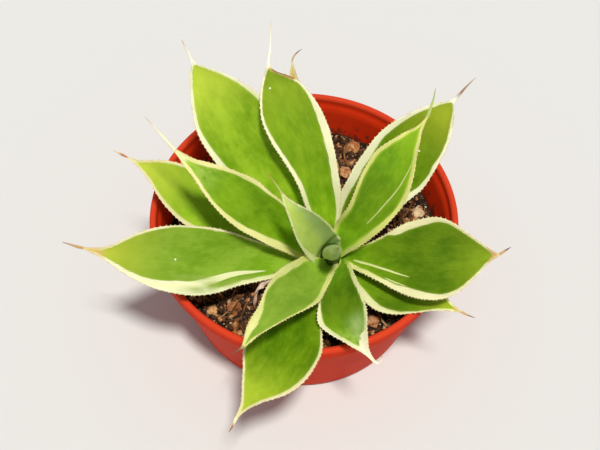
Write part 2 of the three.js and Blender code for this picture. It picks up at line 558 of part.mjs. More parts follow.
function pebbleSolid([x, y, w, d, h, turn], seed, grow = 0) {
  const g = new THREE.IcosahedronGeometry(1, 1);
  const rnd = rng(seed * 7919 + 17);
  const k = Array.from({ length: 6 }, () => rnd() * 6.28);
  const pos = g.getAttribute('position');
  for (let i = 0; i < pos.count; i++) {
    const v = new THREE.Vector3().fromBufferAttribute(pos, i).normalize();
    const s = 1 + 0.09 * Math.sin(2.3 * v.x + k[0]) + 0.08 * Math.sin(2.9 * v.y + k[1])
      + 0.07 * Math.sin(3.1 * v.z + k[2]) + 0.04 * Math.sin(5 * v.x * v.y + k[3]);
    v.multiplyScalar(s);
    pos.setXYZ(i, v.x * (w / 2 + grow), v.y * (d / 2 + grow), v.z * (h / 2 + grow));
  }
  g.rotateZ(THREE.MathUtils.degToRad(turn));
  g.translate(x, y, soilZ(x, y) + h * 0.22);
  return toSolid(g);
}

function chipSolid([x, y, l, w, t, turn, pitch], seed, grow = 0) {
  const rnd = rng(seed * 104729 + 5);
  const pts = [[-0.5, -0.35], [-0.2, -0.5], [0.28, -0.46], [0.5, -0.2], [0.44, 0.3], [0.1, 0.5], [-0.36, 0.42], [-0.5, 0.1]]
    .map(([a, b]) => new THREE.Vector2(
      a * (l + 2 * grow) * (0.9 + 0.2 * rnd()), b * (w + 2 * grow) * (0.85 + 0.3 * rnd())));
  const g = new THREE.ExtrudeGeometry(new THREE.Shape(pts), {
    depth: t + 2 * grow, bevelEnabled: false, steps: 1,
  });
  g.translate(0, 0, -t / 2 - grow);
  g.rotateY(THREE.MathUtils.degToRad(pitch));
  g.rotateZ(THREE.MathUtils.degToRad(turn));
  g.translate(x, y, soilZ(x, y) + t * 0.35);
  return toSolid(g);
}

// ------------------------------------------------------------------ assembly
const group = new THREE.Group();
function put(name, solid, material) {
  const mesh = new THREE.Mesh(fromSolid(solid), material);
  mesh.name = name;
  group.add(mesh);
}

const pot = potGeometry();
put('pot', pot, mat(TERRACOTTA, 0.42));

const stem = stemSolid();
put('stem', stem, mat(0xb9b98a, 0.6));
put('central_spear', spearSolid(), mat(GREEN_INNER, 0.5));

// Every leaf is trimmed by the stem, the spear and the leaves that lie inside
// it, so the clasping bases nest with a small clearance.
let inside = stemSolid(GAP).add(spearSolid(GAP));
LEAVES.forEach((leaf, i) => {
  const solid = leafSolid(leaf).subtract(inside);
  put(leaf.name, solid, mat(i < 4 ? GREEN_INNER : GREEN_OUTER, 0.48));
  for (const room of [leafSolid(leaf, GAP), leafSolid(leaf, 0, GAP), leafSolid(leaf, 0, -GAP), solid]) {
    inside = inside.add(room);
  }
});

const dry = drySolid().subtract(inside);
put('withered_leaf', dry, mat(DRY, 0.75));
inside = inside.add(drySolid(GAP));

const loose = [];
PEBBLES.forEach((p, i) => {
  put(`pebble_${String(i + 1).padStart(2, '0')}`, pebbleSolid(p, i + 1), mat(PUMICE[i % 4], 0.95));
  loose.push(pebbleSolid(p, i + 1, GAP));
});
CHIPS.forEach((c, i) => {
  put(`bark_chip_${String(i + 1).padStart(2, '0')}`, chipSolid(c, i + 1), mat(BARK, 0.9));
  loose.push(chipSolid(c, i + 1, GAP));
});

// The soil fills the pot and gives way to everything that is set into it.
let soil = soilGeometry().subtract(inside);
for (const s of loose) soil = soil.subtract(s);
put('soil', soil, mat(SOIL, 1));

export default group;
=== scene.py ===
import math
import bmesh
import bpy
import numpy as np
from mathutils import Matrix, Vector


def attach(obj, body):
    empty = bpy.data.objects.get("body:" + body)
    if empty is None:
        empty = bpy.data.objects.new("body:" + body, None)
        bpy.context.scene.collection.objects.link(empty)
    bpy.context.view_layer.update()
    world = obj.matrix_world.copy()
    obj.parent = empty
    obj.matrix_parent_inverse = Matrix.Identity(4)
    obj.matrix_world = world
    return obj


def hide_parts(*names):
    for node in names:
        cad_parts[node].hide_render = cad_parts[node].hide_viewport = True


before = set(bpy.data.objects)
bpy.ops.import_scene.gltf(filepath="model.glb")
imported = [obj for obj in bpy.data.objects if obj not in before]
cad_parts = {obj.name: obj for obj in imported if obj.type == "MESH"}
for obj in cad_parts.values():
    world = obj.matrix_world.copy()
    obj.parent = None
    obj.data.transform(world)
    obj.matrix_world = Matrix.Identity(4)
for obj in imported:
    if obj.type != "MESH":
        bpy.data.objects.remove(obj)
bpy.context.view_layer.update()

MM = 0.001
rng = np.random.default_rng(20417)


def srgb(r, g, b):
    out = []
    for c in (r, g, b):
        c /= 255.0
        out.append(c / 12.92 if c <= 0.04045 else ((c + 0.055) / 1.055) ** 2.4)
    return (*out, 1.0)


# ------------------------------------------------------------------- camera
CAM = Vector((-0.0019, -0.28776, 0.52147))
ELEV, ROLL = math.radians(58.0), math.radians(1.8)
back = Vector((0, -math.cos(ELEV), math.sin(ELEV)))
right0 = Vector((1, 0, 0))
up0 = Vector((0, math.sin(ELEV), math.cos(ELEV)))
right = math.cos(ROLL) * right0 + math.sin(ROLL) * up0
upv = -math.sin(ROLL) * right0 + math.cos(ROLL) * up0
cam_data = bpy.data.cameras.new("camera")
cam_data.sensor_width = 36.0
cam_data.sensor_fit = "HORIZONTAL"
cam_data.lens = 66.0
cam_data.clip_start, cam_data.clip_end = 0.01, 20.0
cam = bpy.data.objects.new("camera", cam_data)
bpy.context.scene.collection.objects.link(cam)
m = Matrix((
    (right.x, upv.x, back.x, CAM.x),
    (right.y, upv.y, back.y, CAM.y),
    (right.z, upv.z, back.z, CAM.z),
    (0, 0, 0, 1),
))
cam.matrix_world = m
bpy.context.scene.camera = cam


# ------------------------------------------------------------- mesh helpers
def make(name, verts, faces, mat, attrs=None, smooth=True, slot=None, replaces=()):
    me = bpy.data.meshes.new(name)
    me.from_pydata((np.asarray(verts, float) * MM).tolist(), [], [tuple(int(i) for i in f) for f in faces])
    bm = bmesh.new()
    bm.from_mesh(me)
    bmesh.ops.recalc_face_normals(bm, faces=bm.faces[:])
    bm.to_mesh(me)
    bm.free()
    for k, a in (attrs or {}).items():
        at = me.attributes.new(k, "FLOAT", "POINT")
        at.data.foreach_set("value", np.asarray(a, np.float32))
    me.polygons.foreach_set("use_smooth", [bool(smooth)] * len(me.polygons))
    me.materials.append(mat)
    me.update()
    ob = bpy.data.objects.new(name, me)
    bpy.context.scene.collection.objects.link(ob)
    if slot:
        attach(ob, "root")
    if replaces:
        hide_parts(*replaces)
    return ob


def grid_faces(rows, cols, closed=True, start=0):
    i = np.arange(rows - 1)[:, None] * cols
    j = np.arange(cols if closed else cols - 1)[None, :]
    k = (j + 1) % cols
    f = np.stack([i + j, i + k, i + cols + k, i + cols + j], -1).reshape(-1, 4)
    return f + start


def ramp(table, x):
    t = np.asarray(table, float)
    return np.interp(x, t[:, 0], t[:, 1])


def smoothstep(a, b, x):
    t = np.clip((np.asarray(x, float) - a) / (b - a), 0, 1)
    return t * t * (3 - 2 * t)


def unit(v):
    return v / np.maximum(np.linalg.norm(v, axis=-1, keepdims=True), 1e-9)


def spline(t, y, q):
    """Natural cubic spline through y at t, read at q."""
    t, y = np.asarray(t, float), np.asarray(y, float)
    n, h = len(t), np.diff(t)
    a = np.zeros((n, n)); r = np.zeros((n, y.shape[1]))
    a[0, 0] = a[-1, -1] = 1
    for i in range(1, n - 1):
        a[i, i - 1], a[i, i], a[i, i + 1] = h[i - 1], 2 * (h[i - 1] + h[i]), h[i]
        r[i] = 6 * ((y[i + 1] - y[i]) / h[i] - (y[i] - y[i - 1]) / h[i - 1])
    mm = np.linalg.solve(a, r)
    k = np.clip(np.searchsorted(t, q, side="right") - 1, 0, n - 2)
    d0 = (q - t[k])[:, None]; d1 = (t[k + 1] - q)[:, None]; hh = h[k][:, None]
    return (mm[k] * d1 ** 3 + mm[k + 1] * d0 ** 3) / (6 * hh) \
        + (y[k] / hh - mm[k] * hh / 6) * d1 + (y[k + 1] / hh - mm[k + 1] * hh / 6) * d0


def soften(p, sigma):
    """Gaussian smoothing along a dense curve; sigma in samples; ends stay."""
    n = int(sigma * 3) + 1
    k = np.exp(-0.5 * (np.arange(-n, n + 1) / sigma) ** 2); k /= k.sum()
    ext = np.vstack([2 * p[0] - p[n:0:-1], p, 2 * p[-1] - p[-2:-n - 2:-1]])
    return np.stack([np.convolve(ext[:, i], k, "valid") for i in range(p.shape[1])], -1)


# --------------------------------------------------------- material helpers
class Nodes:
    def __init__(self, name):
        self.mat = bpy.data.materials.new(name)
        self.mat.use_nodes = True
        self.t = self.mat.node_tree
        self.bsdf = self.t.nodes["Principled BSDF"]
        self.cache = {}

    def link(self, a, b):
        self.t.links.new(a, b)

    def put(self, socket, value):
        if value is None:
            return
        if hasattr(value, "is_linked"):
            self.link(value, socket)
        else:
            socket.default_value = value

    def attr(self, name):
        if name not in self.cache:
            n = self.t.nodes.new("ShaderNodeAttribute")
            n.attribute_name = name
            self.cache[name] = n.outputs["Fac"]
        return self.cache[name]

    def pos(self):
        if "pos" not in self.cache:
            self.cache["pos"] = self.t.nodes.new("ShaderNodeTexCoord").outputs["Object"]
        return self.cache["pos"]

    def math(self, op, a, b=None, c=None, clamp=False):
        n = self.t.nodes.new("ShaderNodeMath")
        n.operation, n.use_clamp = op, clamp
        self.put(n.inputs[0], a)
        self.put(n.inputs[1], b)
        self.put(n.inputs[2], c)
        return n.outputs[0]

    def step(self, a, b, x):
        n = self.t.nodes.new("ShaderNodeMapRange")
        n.interpolation_type = "SMOOTHSTEP"
        lo, hi, inv = (a, b, False) if a < b else (b, a, True)
        self.put(n.inputs["Value"], x)
        n.inputs["From Min"].default_value, n.inputs["From Max"].default_value = lo, hi
        n.inputs["To Min"].default_value, n.inputs["To Max"].default_value = (1.0, 0.0) if inv else (0.0, 1.0)
        return n.outputs["Result"]

    def vec(self, x, y, z=0.0):
        n = self.t.nodes.new("ShaderNodeCombineXYZ")
        for s, v in zip(n.inputs, (x, y, z)):
            self.put(s, v)
        return n.outputs[0]

    def scaled(self, v, sx, sy, sz):
        n = self.t.nodes.new("ShaderNodeVectorMath")
        n.operation = "MULTIPLY"
        self.put(n.inputs[0], v)
        n.inputs[1].default_value = (sx, sy, sz)
        return n.outputs[0]

    def noise(self, v, scale=1.0, detail=2.0, rough=0.5, distortion=0.0):
        n = self.t.nodes.new("ShaderNodeTexNoise")
        self.put(n.inputs["Vector"], v)
        n.inputs["Scale"].default_value = scale
        n.inputs["Detail"].default_value = detail
        n.inputs["Roughness"].default_value = rough
        n.inputs["Distortion"].default_value = distortion
        return n.outputs["Fac"]

    def voronoi(self, v, scale=1.0, feature="F1", randomness=1.0):
        n = self.t.nodes.new("ShaderNodeTexVoronoi")
        n.feature = feature
        self.put(n.inputs["Vector"], v)
        n.inputs["Scale"].default_value = scale
        n.inputs["Randomness"].default_value = randomness
        return n.outputs["Distance"]

    def mix(self, fac, a, b, mode="MIX"):
        n = self.t.nodes.new("ShaderNodeMix")
        n.data_type, n.blend_type = "RGBA", mode
        self.put(n.inputs[0], fac)
        self.put(n.inputs[6], a)
        self.put(n.inputs[7], b)
        return n.outputs[2]

    def ramp(self, x, stops):
        n = self.t.nodes.new("ShaderNodeValToRGB")
        self.put(n.inputs[0], x)
        e = n.color_ramp.elements
        while len(e) > 1:
            e.remove(e[-1])
        e[0].position, e[0].color = stops[0]
        for p, c in stops[1:]:
            k = e.new(p)
            k.color = c
        return n.outputs[0]

    def bump(self, height, strength, distance, normal=None):
        n = self.t.nodes.new("ShaderNodeBump")
        n.inputs["Strength"].default_value = strength
        n.inputs["Distance"].default_value = distance
        self.put(n.inputs["Height"], height)
        if normal is not None:
            self.link(normal, n.inputs["Normal"])
        return n.outputs[0]

    def done(self, color=None, rough=None, normal=None, **sockets):
        if color is not None:
            self.put(self.bsdf.inputs["Base Color"], color)
        if rough is not None:
            self.put(self.bsdf.inputs["Roughness"], rough)
        if normal is not None:
            self.put(self.bsdf.inputs["Normal"], normal)
        for k, v in sockets.items():
            self.bsdf.inputs[k.replace("_", " ")].default_value = v
        return self.mat


# -------------------------------------------------------- shared dimensions
POT_H, RIM_R, RIM_W, RIM_DROP, BASE_R = 72.0, 75.0, 4.0, 6.5, 59.0
POT_WALL, POT_FLOOR, DRAIN_R, DRAIN_RING, DRAIN_N = 1.8, 2.2, 4.2, 36.0, 6
SOIL_TOP = 47.8
CROWN = np.array([13.0, -7.0, 45.0])
LEAN = math.radians(28)
AXIS = np.array([0, -math.sin(LEAN), math.cos(LEAN)])
STEM_OUT, SPEAR_LEN, SPEAR_R = 25.0, 50.0, 3.9


def soil_z(x, y):
    r = np.hypot(x - CROWN[0], y - CROWN[1])
    bumps = 0.7 * np.sin(x * 0.21 + 1.3) * np.cos(y * 0.17 - 0.4) + 0.4 * np.sin(x * 0.43 - y * 0.31)
    return SOIL_TOP + 0.035 * np.maximum(0, r - 12) + 0.03 * x + bumps


def pot_inner(z):
    zl = POT_H - RIM_DROP
    mid = BASE_R + (RIM_R - 1.9 - BASE_R) / 2 - POT_WALL
    return ramp([[POT_FLOOR, BASE_R - 1.2 - POT_WALL], [POT_FLOOR + 1.2, BASE_R + 0.1 - POT_WALL],
                 [zl / 2, mid], [POT_H - 2.2, RIM_R - RIM_W]], z)


# ------------------------------------------------------------ leaf outlines
# Both margins of each leaf in mm: (left x, y, z, right x, y, z) from the stem
# to the tip, then points along its terminal spine. Innermost leaf first.
LEAVES = [
  ('leaf_01', 1, [
    (18.4, -10.4, 65.6, 9.2, -22.6, 59.1), (17.2, -9.7, 67.3, 7.4, -22.3, 60.6), (15.9, -11.5, 72.8, 5.5, -24.3, 66.0),
    (14.3, -13.7, 79.2, 3.5, -26.4, 72.4), (12.8, -15.6, 84.9, 1.9, -27.8, 78.5), (11.0, -17.6, 91.1, 0.2, -29.1, 85.0),
    (9.1, -19.4, 96.7, -1.4, -30.1, 91.1), (7.3, -21.0, 101.9, -2.8, -30.8, 96.7), (5.3, -22.4, 106.4, -3.9, -31.1, 101.8),
    (3.4, -23.6, 110.4, -4.9, -31.1, 106.5), (1.3, -24.8, 114.0, -5.7, -31.0, 110.7), (-0.9, -25.9, 117.2, -6.5, -30.7, 114.6),
    (-3.0, -26.6, 120.2, -7.3, -30.3, 118.3), (-4.8, -27.1, 122.6, -8.1, -29.9, 121.1), (-6.1, -27.2, 124.5, -8.7, -29.4, 123.4),
    (-7.2, -27.3, 126.0, -9.2, -29.0, 125.0), (-7.9, -27.2, 127.0, -9.6, -28.6, 126.2), (-8.4, -27.1, 127.6, -9.8, -28.3, 127.0),
    (-8.8, -27.0, 128.3, -9.9, -28.0, 127.7),
  ], [(-12.2, -26.1, 133.5), (-15.2, -25.0, 138.7), (-17.5, -24.0, 142.8)]),
  ('leaf_02', 1, [
    (6.2, -17.6, 65.0, 17.8, -15.3, 54.2), (3.3, -21.4, 70.0, 16.9, -21.9, 59.2), (0.5, -25.7, 75.1, 15.3, -28.1, 64.3),
    (-2.6, -31.0, 80.9, 13.7, -35.2, 69.8), (-5.5, -36.0, 86.3, 12.0, -41.8, 74.7), (-8.7, -41.8, 91.9, 9.9, -49.1, 80.1),
    (-11.5, -47.5, 96.9, 7.4, -55.7, 85.3), (-13.4, -53.4, 100.9, 3.9, -60.9, 90.3), (-15.3, -58.9, 104.3, 0.2, -65.4, 95.0),
    (-16.4, -64.2, 106.7, -3.4, -69.7, 99.3), (-17.5, -69.3, 108.8, -6.8, -73.9, 103.1), (-19.0, -74.0, 110.9, -10.0, -77.8, 106.5),
    (-20.8, -78.5, 112.9, -13.3, -81.6, 109.4), (-22.0, -82.2, 114.2, -15.9, -84.7, 111.6), (-22.7, -85.3, 115.0, -18.0, -87.3, 113.2),
    (-23.1, -87.8, 115.5, -19.5, -89.4, 114.2), (-23.4, -89.6, 115.8, -20.6, -91.0, 114.9), (-23.5, -90.7, 116.0, -21.4, -92.0, 115.4),
    (-23.6, -91.9, 116.1, -22.1, -93.0, 115.7),
  ], [(-24.6, -94.8, 116.9), (-26.5, -96.8, 117.8), (-28.3, -98.9, 118.7)]),
  ('leaf_03', 1, [
    (19.0, -17.3, 60.5, 13.3, -9.7, 66.4), (22.2, -18.1, 66.5, 13.9, -9.1, 72.5), (25.4, -18.8, 71.9, 15.1, -8.9, 78.8),
    (29.2, -19.3, 78.0, 17.7, -9.5, 86.2), (32.6, -19.4, 84.1, 19.9, -9.7, 93.2), (36.4, -19.2, 90.9, 21.6, -9.2, 100.9),
    (39.7, -18.7, 97.5, 23.0, -8.3, 108.1), (42.8, -17.8, 104.1, 24.4, -7.3, 114.9), (45.0, -16.5, 110.6, 26.3, -6.2, 121.0),
    (46.4, -14.7, 117.1, 28.3, -4.9, 126.7), (47.2, -12.7, 123.3, 31.1, -3.8, 131.6), (47.6, -10.5, 129.3, 34.7, -3.1, 135.6),
    (47.9, -8.2, 134.9, 38.5, -2.6, 139.1), (48.4, -6.1, 139.5, 41.8, -2.1, 141.9), (48.7, -4.2, 143.0, 44.7, -1.8, 144.1),
    (49.3, -2.7, 145.7, 46.8, -1.5, 145.9), (50.0, -1.6, 147.7, 48.2, -0.9, 147.5), (50.5, -0.9, 149.0, 49.0, -0.5, 148.6),
    (51.0, -0.2, 150.2, 49.8, -0.1, 149.6),
  ], [(51.6, 2.1, 153.5), (52.6, 4.3, 156.9), (53.2, 7.3, 161.1)]),
  ('leaf_04', 1, [
    (9.1, -13.2, 63.6, 6.4, -19.2, 58.1), (6.3, -12.8, 69.2, 2.0, -21.1, 62.7), (3.5, -12.4, 74.8, -2.2, -22.7, 67.6),
    (0.1, -12.0, 81.3, -7.1, -24.0, 73.7), (-3.3, -11.5, 87.5, -11.8, -25.3, 79.4), (-7.5, -11.3, 94.4, -17.1, -26.5, 85.8),
    (-11.9, -11.1, 100.9, -22.2, -27.2, 92.0), (-16.3, -11.1, 106.8, -27.2, -27.7, 97.7), (-20.4, -10.5, 112.5, -31.8, -27.5, 103.3),
    (-25.1, -10.8, 117.4, -36.0, -26.7, 108.8), (-30.1, -11.4, 121.7, -39.7, -25.3, 114.1), (-35.0, -11.9, 125.6, -43.0, -23.5, 119.1),
    (-40.1, -12.6, 128.9, -46.1, -21.4, 124.0), (-44.4, -13.2, 131.5, -48.7, -19.4, 127.9), (-48.0, -13.6, 133.5, -51.0, -17.8, 131.1),
    (-50.6, -13.3, 135.3, -52.8, -16.5, 133.5), (-52.5, -13.0, 136.7, -54.1, -15.5, 135.2), (-53.8, -12.8, 137.6, -55.0, -14.7, 136.4),
    (-55.1, -12.6, 138.5, -55.9, -14.0, 137.5),
  ], [(-59.2, -11.2, 141.9), (-63.7, -8.5, 146.8), (-68.5, -5.7, 152.0)]),
  ('leaf_05', 1, [
    (11.5, -19.4, 60.7, 21.8, -14.6, 57.0), (10.9, -24.1, 62.8, 22.7, -18.5, 58.9), (10.3, -29.1, 65.3, 23.5, -22.6, 61.3),
    (9.6, -34.8, 68.2, 24.4, -27.7, 64.5), (8.9, -40.4, 70.9, 25.4, -32.6, 67.6), (8.2, -46.5, 73.5, 26.5, -38.2, 71.1),
    (7.5, -52.3, 75.6, 27.5, -43.7, 74.5), (7.1, -57.8, 77.3, 28.3, -49.2, 77.7), (7.8, -63.0, 78.7, 29.0, -54.4, 80.7),
    (10.6, -66.8, 80.0, 29.3, -59.4, 83.1), (13.8, -69.9, 81.2, 29.3, -64.1, 84.9), (17.2, -72.6, 82.5, 29.2, -68.4, 86.2),
    (20.6, -75.4, 83.9, 29.3, -72.5, 87.0), (23.5, -77.8, 85.1, 29.4, -75.8, 87.5), (25.9, -79.6, 86.1, 29.6, -78.4, 87.6),
    (27.7, -81.2, 86.8, 30.1, -80.4, 87.8), (29.0, -82.6, 87.2, 30.7, -81.8, 88.0), (29.8, -83.5, 87.5, 31.2, -82.8, 88.2),
    (30.6, -84.4, 87.7, 31.7, -83.7, 88.3),
  ], [(33.1, -86.0, 88.7), (34.7, -85.1, 89.5), (35.0, -82.0, 89.9)]),
  ('leaf_06', 1, [
    (15.9, -9.0, 62.6, 7.6, -9.4, 61.9), (16.2, -7.2, 68.9, 5.8, -8.3, 68.0), (16.6, -5.3, 75.0, 4.0, -7.1, 74.0),
    (17.0, -2.9, 81.8, 1.8, -5.6, 81.0), (16.8, -0.4, 88.4, -0.3, -4.1, 87.8), (15.7, 2.4, 95.9, -2.5, -2.2, 95.3),
    (14.7, 5.4, 103.0, -5.3, -0.4, 102.3), (13.3, 8.4, 109.8, -8.6, 1.3, 108.6), (11.7, 11.4, 116.3, -11.9, 3.1, 114.6),
    (9.7, 14.4, 122.5, -15.3, 5.0, 120.3), (7.0, 17.1, 128.4, -18.0, 7.3, 125.8), (3.7, 19.6, 133.9, -20.2, 10.0, 131.1),
    (-0.2, 21.8, 138.9, -21.1, 13.3, 136.2), (-4.1, 23.4, 142.8, -21.2, 16.4, 140.3), (-7.9, 24.1, 145.3, -20.8, 19.0, 143.5),
    (-11.2, 24.3, 146.8, -20.1, 21.2, 145.9), (-13.7, 24.4, 147.7, -19.6, 22.9, 147.7), (-15.3, 24.7, 148.6, -19.1, 23.9, 148.9),
    (-16.7, 25.1, 149.6, -18.5, 25.0, 149.9),
  ], [(-17.3, 29.8, 155.4), (-17.2, 33.9, 160.4), (-17.2, 38.2, 165.5)]),
  ('leaf_07', 1, [
    (21.0, -20.0, 58.5, 22.3, -14.3, 62.4), (24.4, -24.6, 61.7, 25.7, -15.4, 67.3), (28.0, -28.5, 65.4, 29.2, -16.4, 72.0),
    (32.2, -33.1, 69.3, 33.1, -17.4, 77.4), (36.3, -37.5, 72.7, 37.0, -18.1, 82.6), (40.9, -42.5, 76.1, 41.3, -18.4, 88.4),
    (45.7, -46.9, 79.5, 45.4, -18.4, 93.9), (50.6, -50.6, 83.2, 49.8, -19.3, 99.0), (55.6, -53.5, 86.9, 54.4, -20.8, 103.7),
    (60.6, -55.4, 90.8, 59.1, -22.9, 107.8), (65.3, -55.8, 94.9, 63.6, -26.1, 110.6), (69.5, -54.8, 99.1, 67.6, -29.9, 112.2),
    (73.0, -52.8, 103.1, 71.5, -33.9, 113.2), (75.9, -50.8, 106.4, 74.7, -37.2, 113.8), (78.1, -48.9, 109.1, 77.3, -39.9, 114.2),
    (80.1, -47.7, 111.3, 79.5, -41.9, 114.5), (81.7, -47.0, 112.8, 81.2, -43.3, 114.7), (82.9, -46.6, 113.8, 82.4, -44.2, 115.0),
    (84.0, -46.2, 114.8, 83.6, -45.0, 115.2),
  ], [(85.2, -45.2, 116.1), (86.7, -44.6, 117.4), (88.6, -44.0, 119.0)]),
  ('leaf_08', 1, [
    (21.5, -11.7, 57.9, 14.7, -6.6, 66.1), (25.1, -11.6, 63.0, 14.2, -4.4, 71.2), (28.6, -11.5, 68.0, 14.0, -2.2, 76.3),
    (32.6, -11.2, 74.1, 15.2, 0.1, 82.6), (36.3, -10.7, 80.1, 17.0, 2.2, 88.7), (40.5, -10.0, 86.8, 19.8, 4.3, 95.4),
    (44.6, -9.0, 93.3, 22.2, 6.6, 102.0), (48.6, -7.9, 99.4, 25.2, 8.7, 108.1), (52.8, -6.9, 105.0, 28.4, 10.8, 114.0),
    (55.8, -4.9, 110.8, 31.8, 12.6, 119.6), (58.3, -2.5, 116.4, 35.9, 14.0, 124.7), (60.6, 0.2, 121.8, 40.6, 14.9, 129.1),
    (62.7, 3.1, 127.0, 45.5, 15.5, 133.1), (63.7, 6.0, 131.2, 49.9, 15.9, 136.2), (64.1, 8.6, 134.6, 53.6, 16.0, 138.4),
    (64.4, 10.7, 137.3, 56.7, 16.1, 140.0), (64.4, 12.4, 139.2, 59.0, 16.0, 141.1), (64.2, 13.5, 140.5, 60.6, 15.9, 141.7),
    (63.7, 14.6, 141.6, 62.1, 15.8, 142.2),
  ], [(65.2, 16.6, 144.5), (68.4, 18.7, 148.5), (72.3, 20.8, 152.7)]),
  ('leaf_09', 1, [
    (1.5, -18.0, 58.7, 0.3, -24.1, 56.6), (-3.7, -18.5, 63.2, -5.2, -27.5, 59.7), (-8.9, -19.0, 67.7, -10.5, -30.7, 62.8),
    (-15.1, -19.7, 72.9, -16.8, -34.5, 66.5), (-21.2, -20.3, 77.8, -23.0, -38.2, 70.0), (-28.2, -20.9, 83.3, -30.0, -42.5, 73.6),
    (-35.1, -21.7, 88.5, -36.7, -47.1, 76.6), (-42.0, -23.0, 93.1, -43.6, -50.7, 79.8), (-49.0, -24.9, 97.2, -50.5, -53.2, 83.4),
    (-55.8, -27.0, 100.8, -57.3, -54.4, 87.2), (-62.6, -29.7, 103.8, -64.0, -54.8, 91.0), (-69.1, -32.9, 106.0, -70.4, -54.2, 94.9),
    (-75.2, -36.8, 107.4, -76.4, -52.9, 98.9), (-80.2, -40.4, 108.0, -81.3, -51.2, 102.3), (-84.4, -43.3, 108.5, -85.3, -49.7, 105.1),
    (-88.0, -44.9, 109.3, -88.5, -48.5, 107.3), (-90.8, -45.6, 110.1, -91.1, -47.9, 108.8), (-92.7, -45.9, 110.7, -92.8, -47.6, 109.7),
    (-94.6, -46.2, 111.3, -94.5, -47.2, 110.7),
  ], [(-97.8, -46.7, 112.4), (-100.6, -46.5, 113.7), (-103.9, -46.3, 115.2)]),
  ('leaf_10', 1, [
    (10.7, -2.6, 68.6, -5.0, -13.6, 63.2), (8.1, -0.9, 74.5, -8.6, -12.6, 68.8), (5.6, 0.7, 80.3, -12.2, -11.5, 74.2),
    (2.9, 2.9, 87.0, -16.6, -10.3, 80.3), (0.3, 5.2, 93.5, -20.9, -9.1, 86.2), (-2.8, 7.9, 100.7, -25.9, -7.6, 92.8),
    (-5.8, 10.7, 107.6, -30.7, -5.8, 99.1), (-9.1, 13.4, 114.2, -35.2, -3.9, 105.3), (-12.5, 16.1, 120.5, -39.5, -1.8, 111.2),
    (-15.9, 18.9, 126.5, -43.5, 0.7, 117.1), (-19.8, 21.4, 132.0, -47.0, 3.5, 122.8), (-24.8, 23.0, 136.8, -49.6, 6.8, 128.5),
    (-30.4, 24.2, 140.8, -50.8, 10.8, 134.1), (-35.4, 24.9, 143.9, -51.5, 14.4, 138.7), (-39.7, 25.2, 146.1, -51.8, 17.5, 142.3),
    (-43.2, 25.3, 147.6, -52.0, 20.0, 145.2), (-45.8, 25.5, 148.8, -52.1, 21.9, 147.3), (-47.6, 25.6, 149.5, -51.8, 23.3, 148.7),
    (-49.3, 25.5, 150.2, -51.3, 24.6, 149.9),
  ], [(-52.1, 27.4, 153.2), (-53.8, 29.3, 155.8), (-55.7, 31.6, 159.0)]),
  ('leaf_11', 0.65, [
    (5.0, -19.4, 56.5, 15.4, -18.0, 52.7), (1.5, -24.3, 59.9, 14.0, -26.1, 57.5), (-1.9, -29.3, 63.0, 12.7, -33.8, 61.8),
    (-5.4, -35.5, 66.6, 11.4, -42.5, 66.3), (-8.8, -41.5, 69.7, 10.4, -50.8, 70.1), (-12.4, -48.4, 73.0, 9.7, -59.8, 73.8),
    (-15.9, -55.0, 75.9, 9.7, -68.2, 76.7), (-19.2, -61.4, 78.4, 9.8, -76.0, 78.9), (-22.1, -67.9, 81.0, 7.5, -83.3, 81.0),
    (-24.3, -74.6, 83.2, 4.6, -89.8, 82.6), (-25.0, -81.4, 84.9, 0.6, -95.1, 83.7), (-24.6, -87.9, 86.1, -4.2, -99.2, 84.4),
    (-24.5, -94.2, 87.0, -9.6, -102.1, 85.2), (-24.4, -99.4, 87.4, -14.3, -104.2, 85.8), (-24.3, -103.5, 87.4, -18.1, -106.3, 86.3),
    (-24.6, -106.7, 87.3, -21.0, -108.1, 86.6), (-25.2, -109.0, 87.3, -22.9, -109.7, 86.8), (-25.8, -110.4, 87.2, -24.1, -111.0, 86.9),
    (-26.4, -111.8, 87.1, -25.2, -112.3, 86.9),
  ], [(-26.7, -114.2, 86.9), (-27.6, -116.6, 86.8), (-28.8, -118.8, 86.7)]),
  ('leaf_12', 0.8, [
    (20.2, -22.0, 56.2, 20.7, -10.4, 53.8), (21.7, -26.3, 57.7, 24.0, -11.7, 56.2), (23.2, -30.3, 59.0, 27.2, -13.2, 58.8),
    (25.2, -34.7, 60.3, 31.1, -15.3, 62.1), (27.4, -39.0, 61.4, 34.8, -17.5, 65.2), (30.4, -43.4, 62.8, 39.1, -20.1, 68.8),
    (33.9, -47.2, 64.5, 43.3, -22.7, 72.0), (37.9, -50.0, 66.6, 47.4, -25.4, 74.9), (42.1, -51.8, 68.8, 51.4, -28.4, 77.3),
    (46.3, -52.9, 71.2, 55.1, -31.5, 79.2), (50.5, -53.6, 73.5, 58.2, -35.5, 80.3), (54.6, -54.1, 75.7, 60.7, -39.7, 80.7),
    (58.8, -54.3, 77.7, 62.7, -44.0, 80.8), (62.3, -54.6, 79.1, 64.7, -47.6, 81.1), (65.3, -55.2, 80.2, 66.7, -50.3, 81.4),
    (67.7, -55.7, 80.9, 68.3, -52.4, 81.6), (69.4, -56.2, 81.4, 69.6, -53.9, 81.8), (70.6, -56.5, 81.7, 70.5, -54.8, 81.9),
    (71.8, -56.9, 81.9, 71.4, -55.7, 82.0),
  ], [(73.5, -57.6, 82.3), (75.6, -58.9, 82.8), (77.7, -60.0, 83.2)]),
  ('leaf_13', 1, [
    (1.9, -9.7, 55.3, -1.2, -18.5, 50.6), (-2.4, -8.7, 58.7, -6.4, -19.2, 53.0), (-6.7, -7.6, 62.2, -11.5, -19.7, 55.4),
    (-11.4, -5.8, 66.4, -17.5, -20.0, 58.4), (-15.9, -3.9, 70.6, -23.4, -19.9, 61.4), (-21.4, -1.8, 75.2, -30.0, -19.5, 65.1),
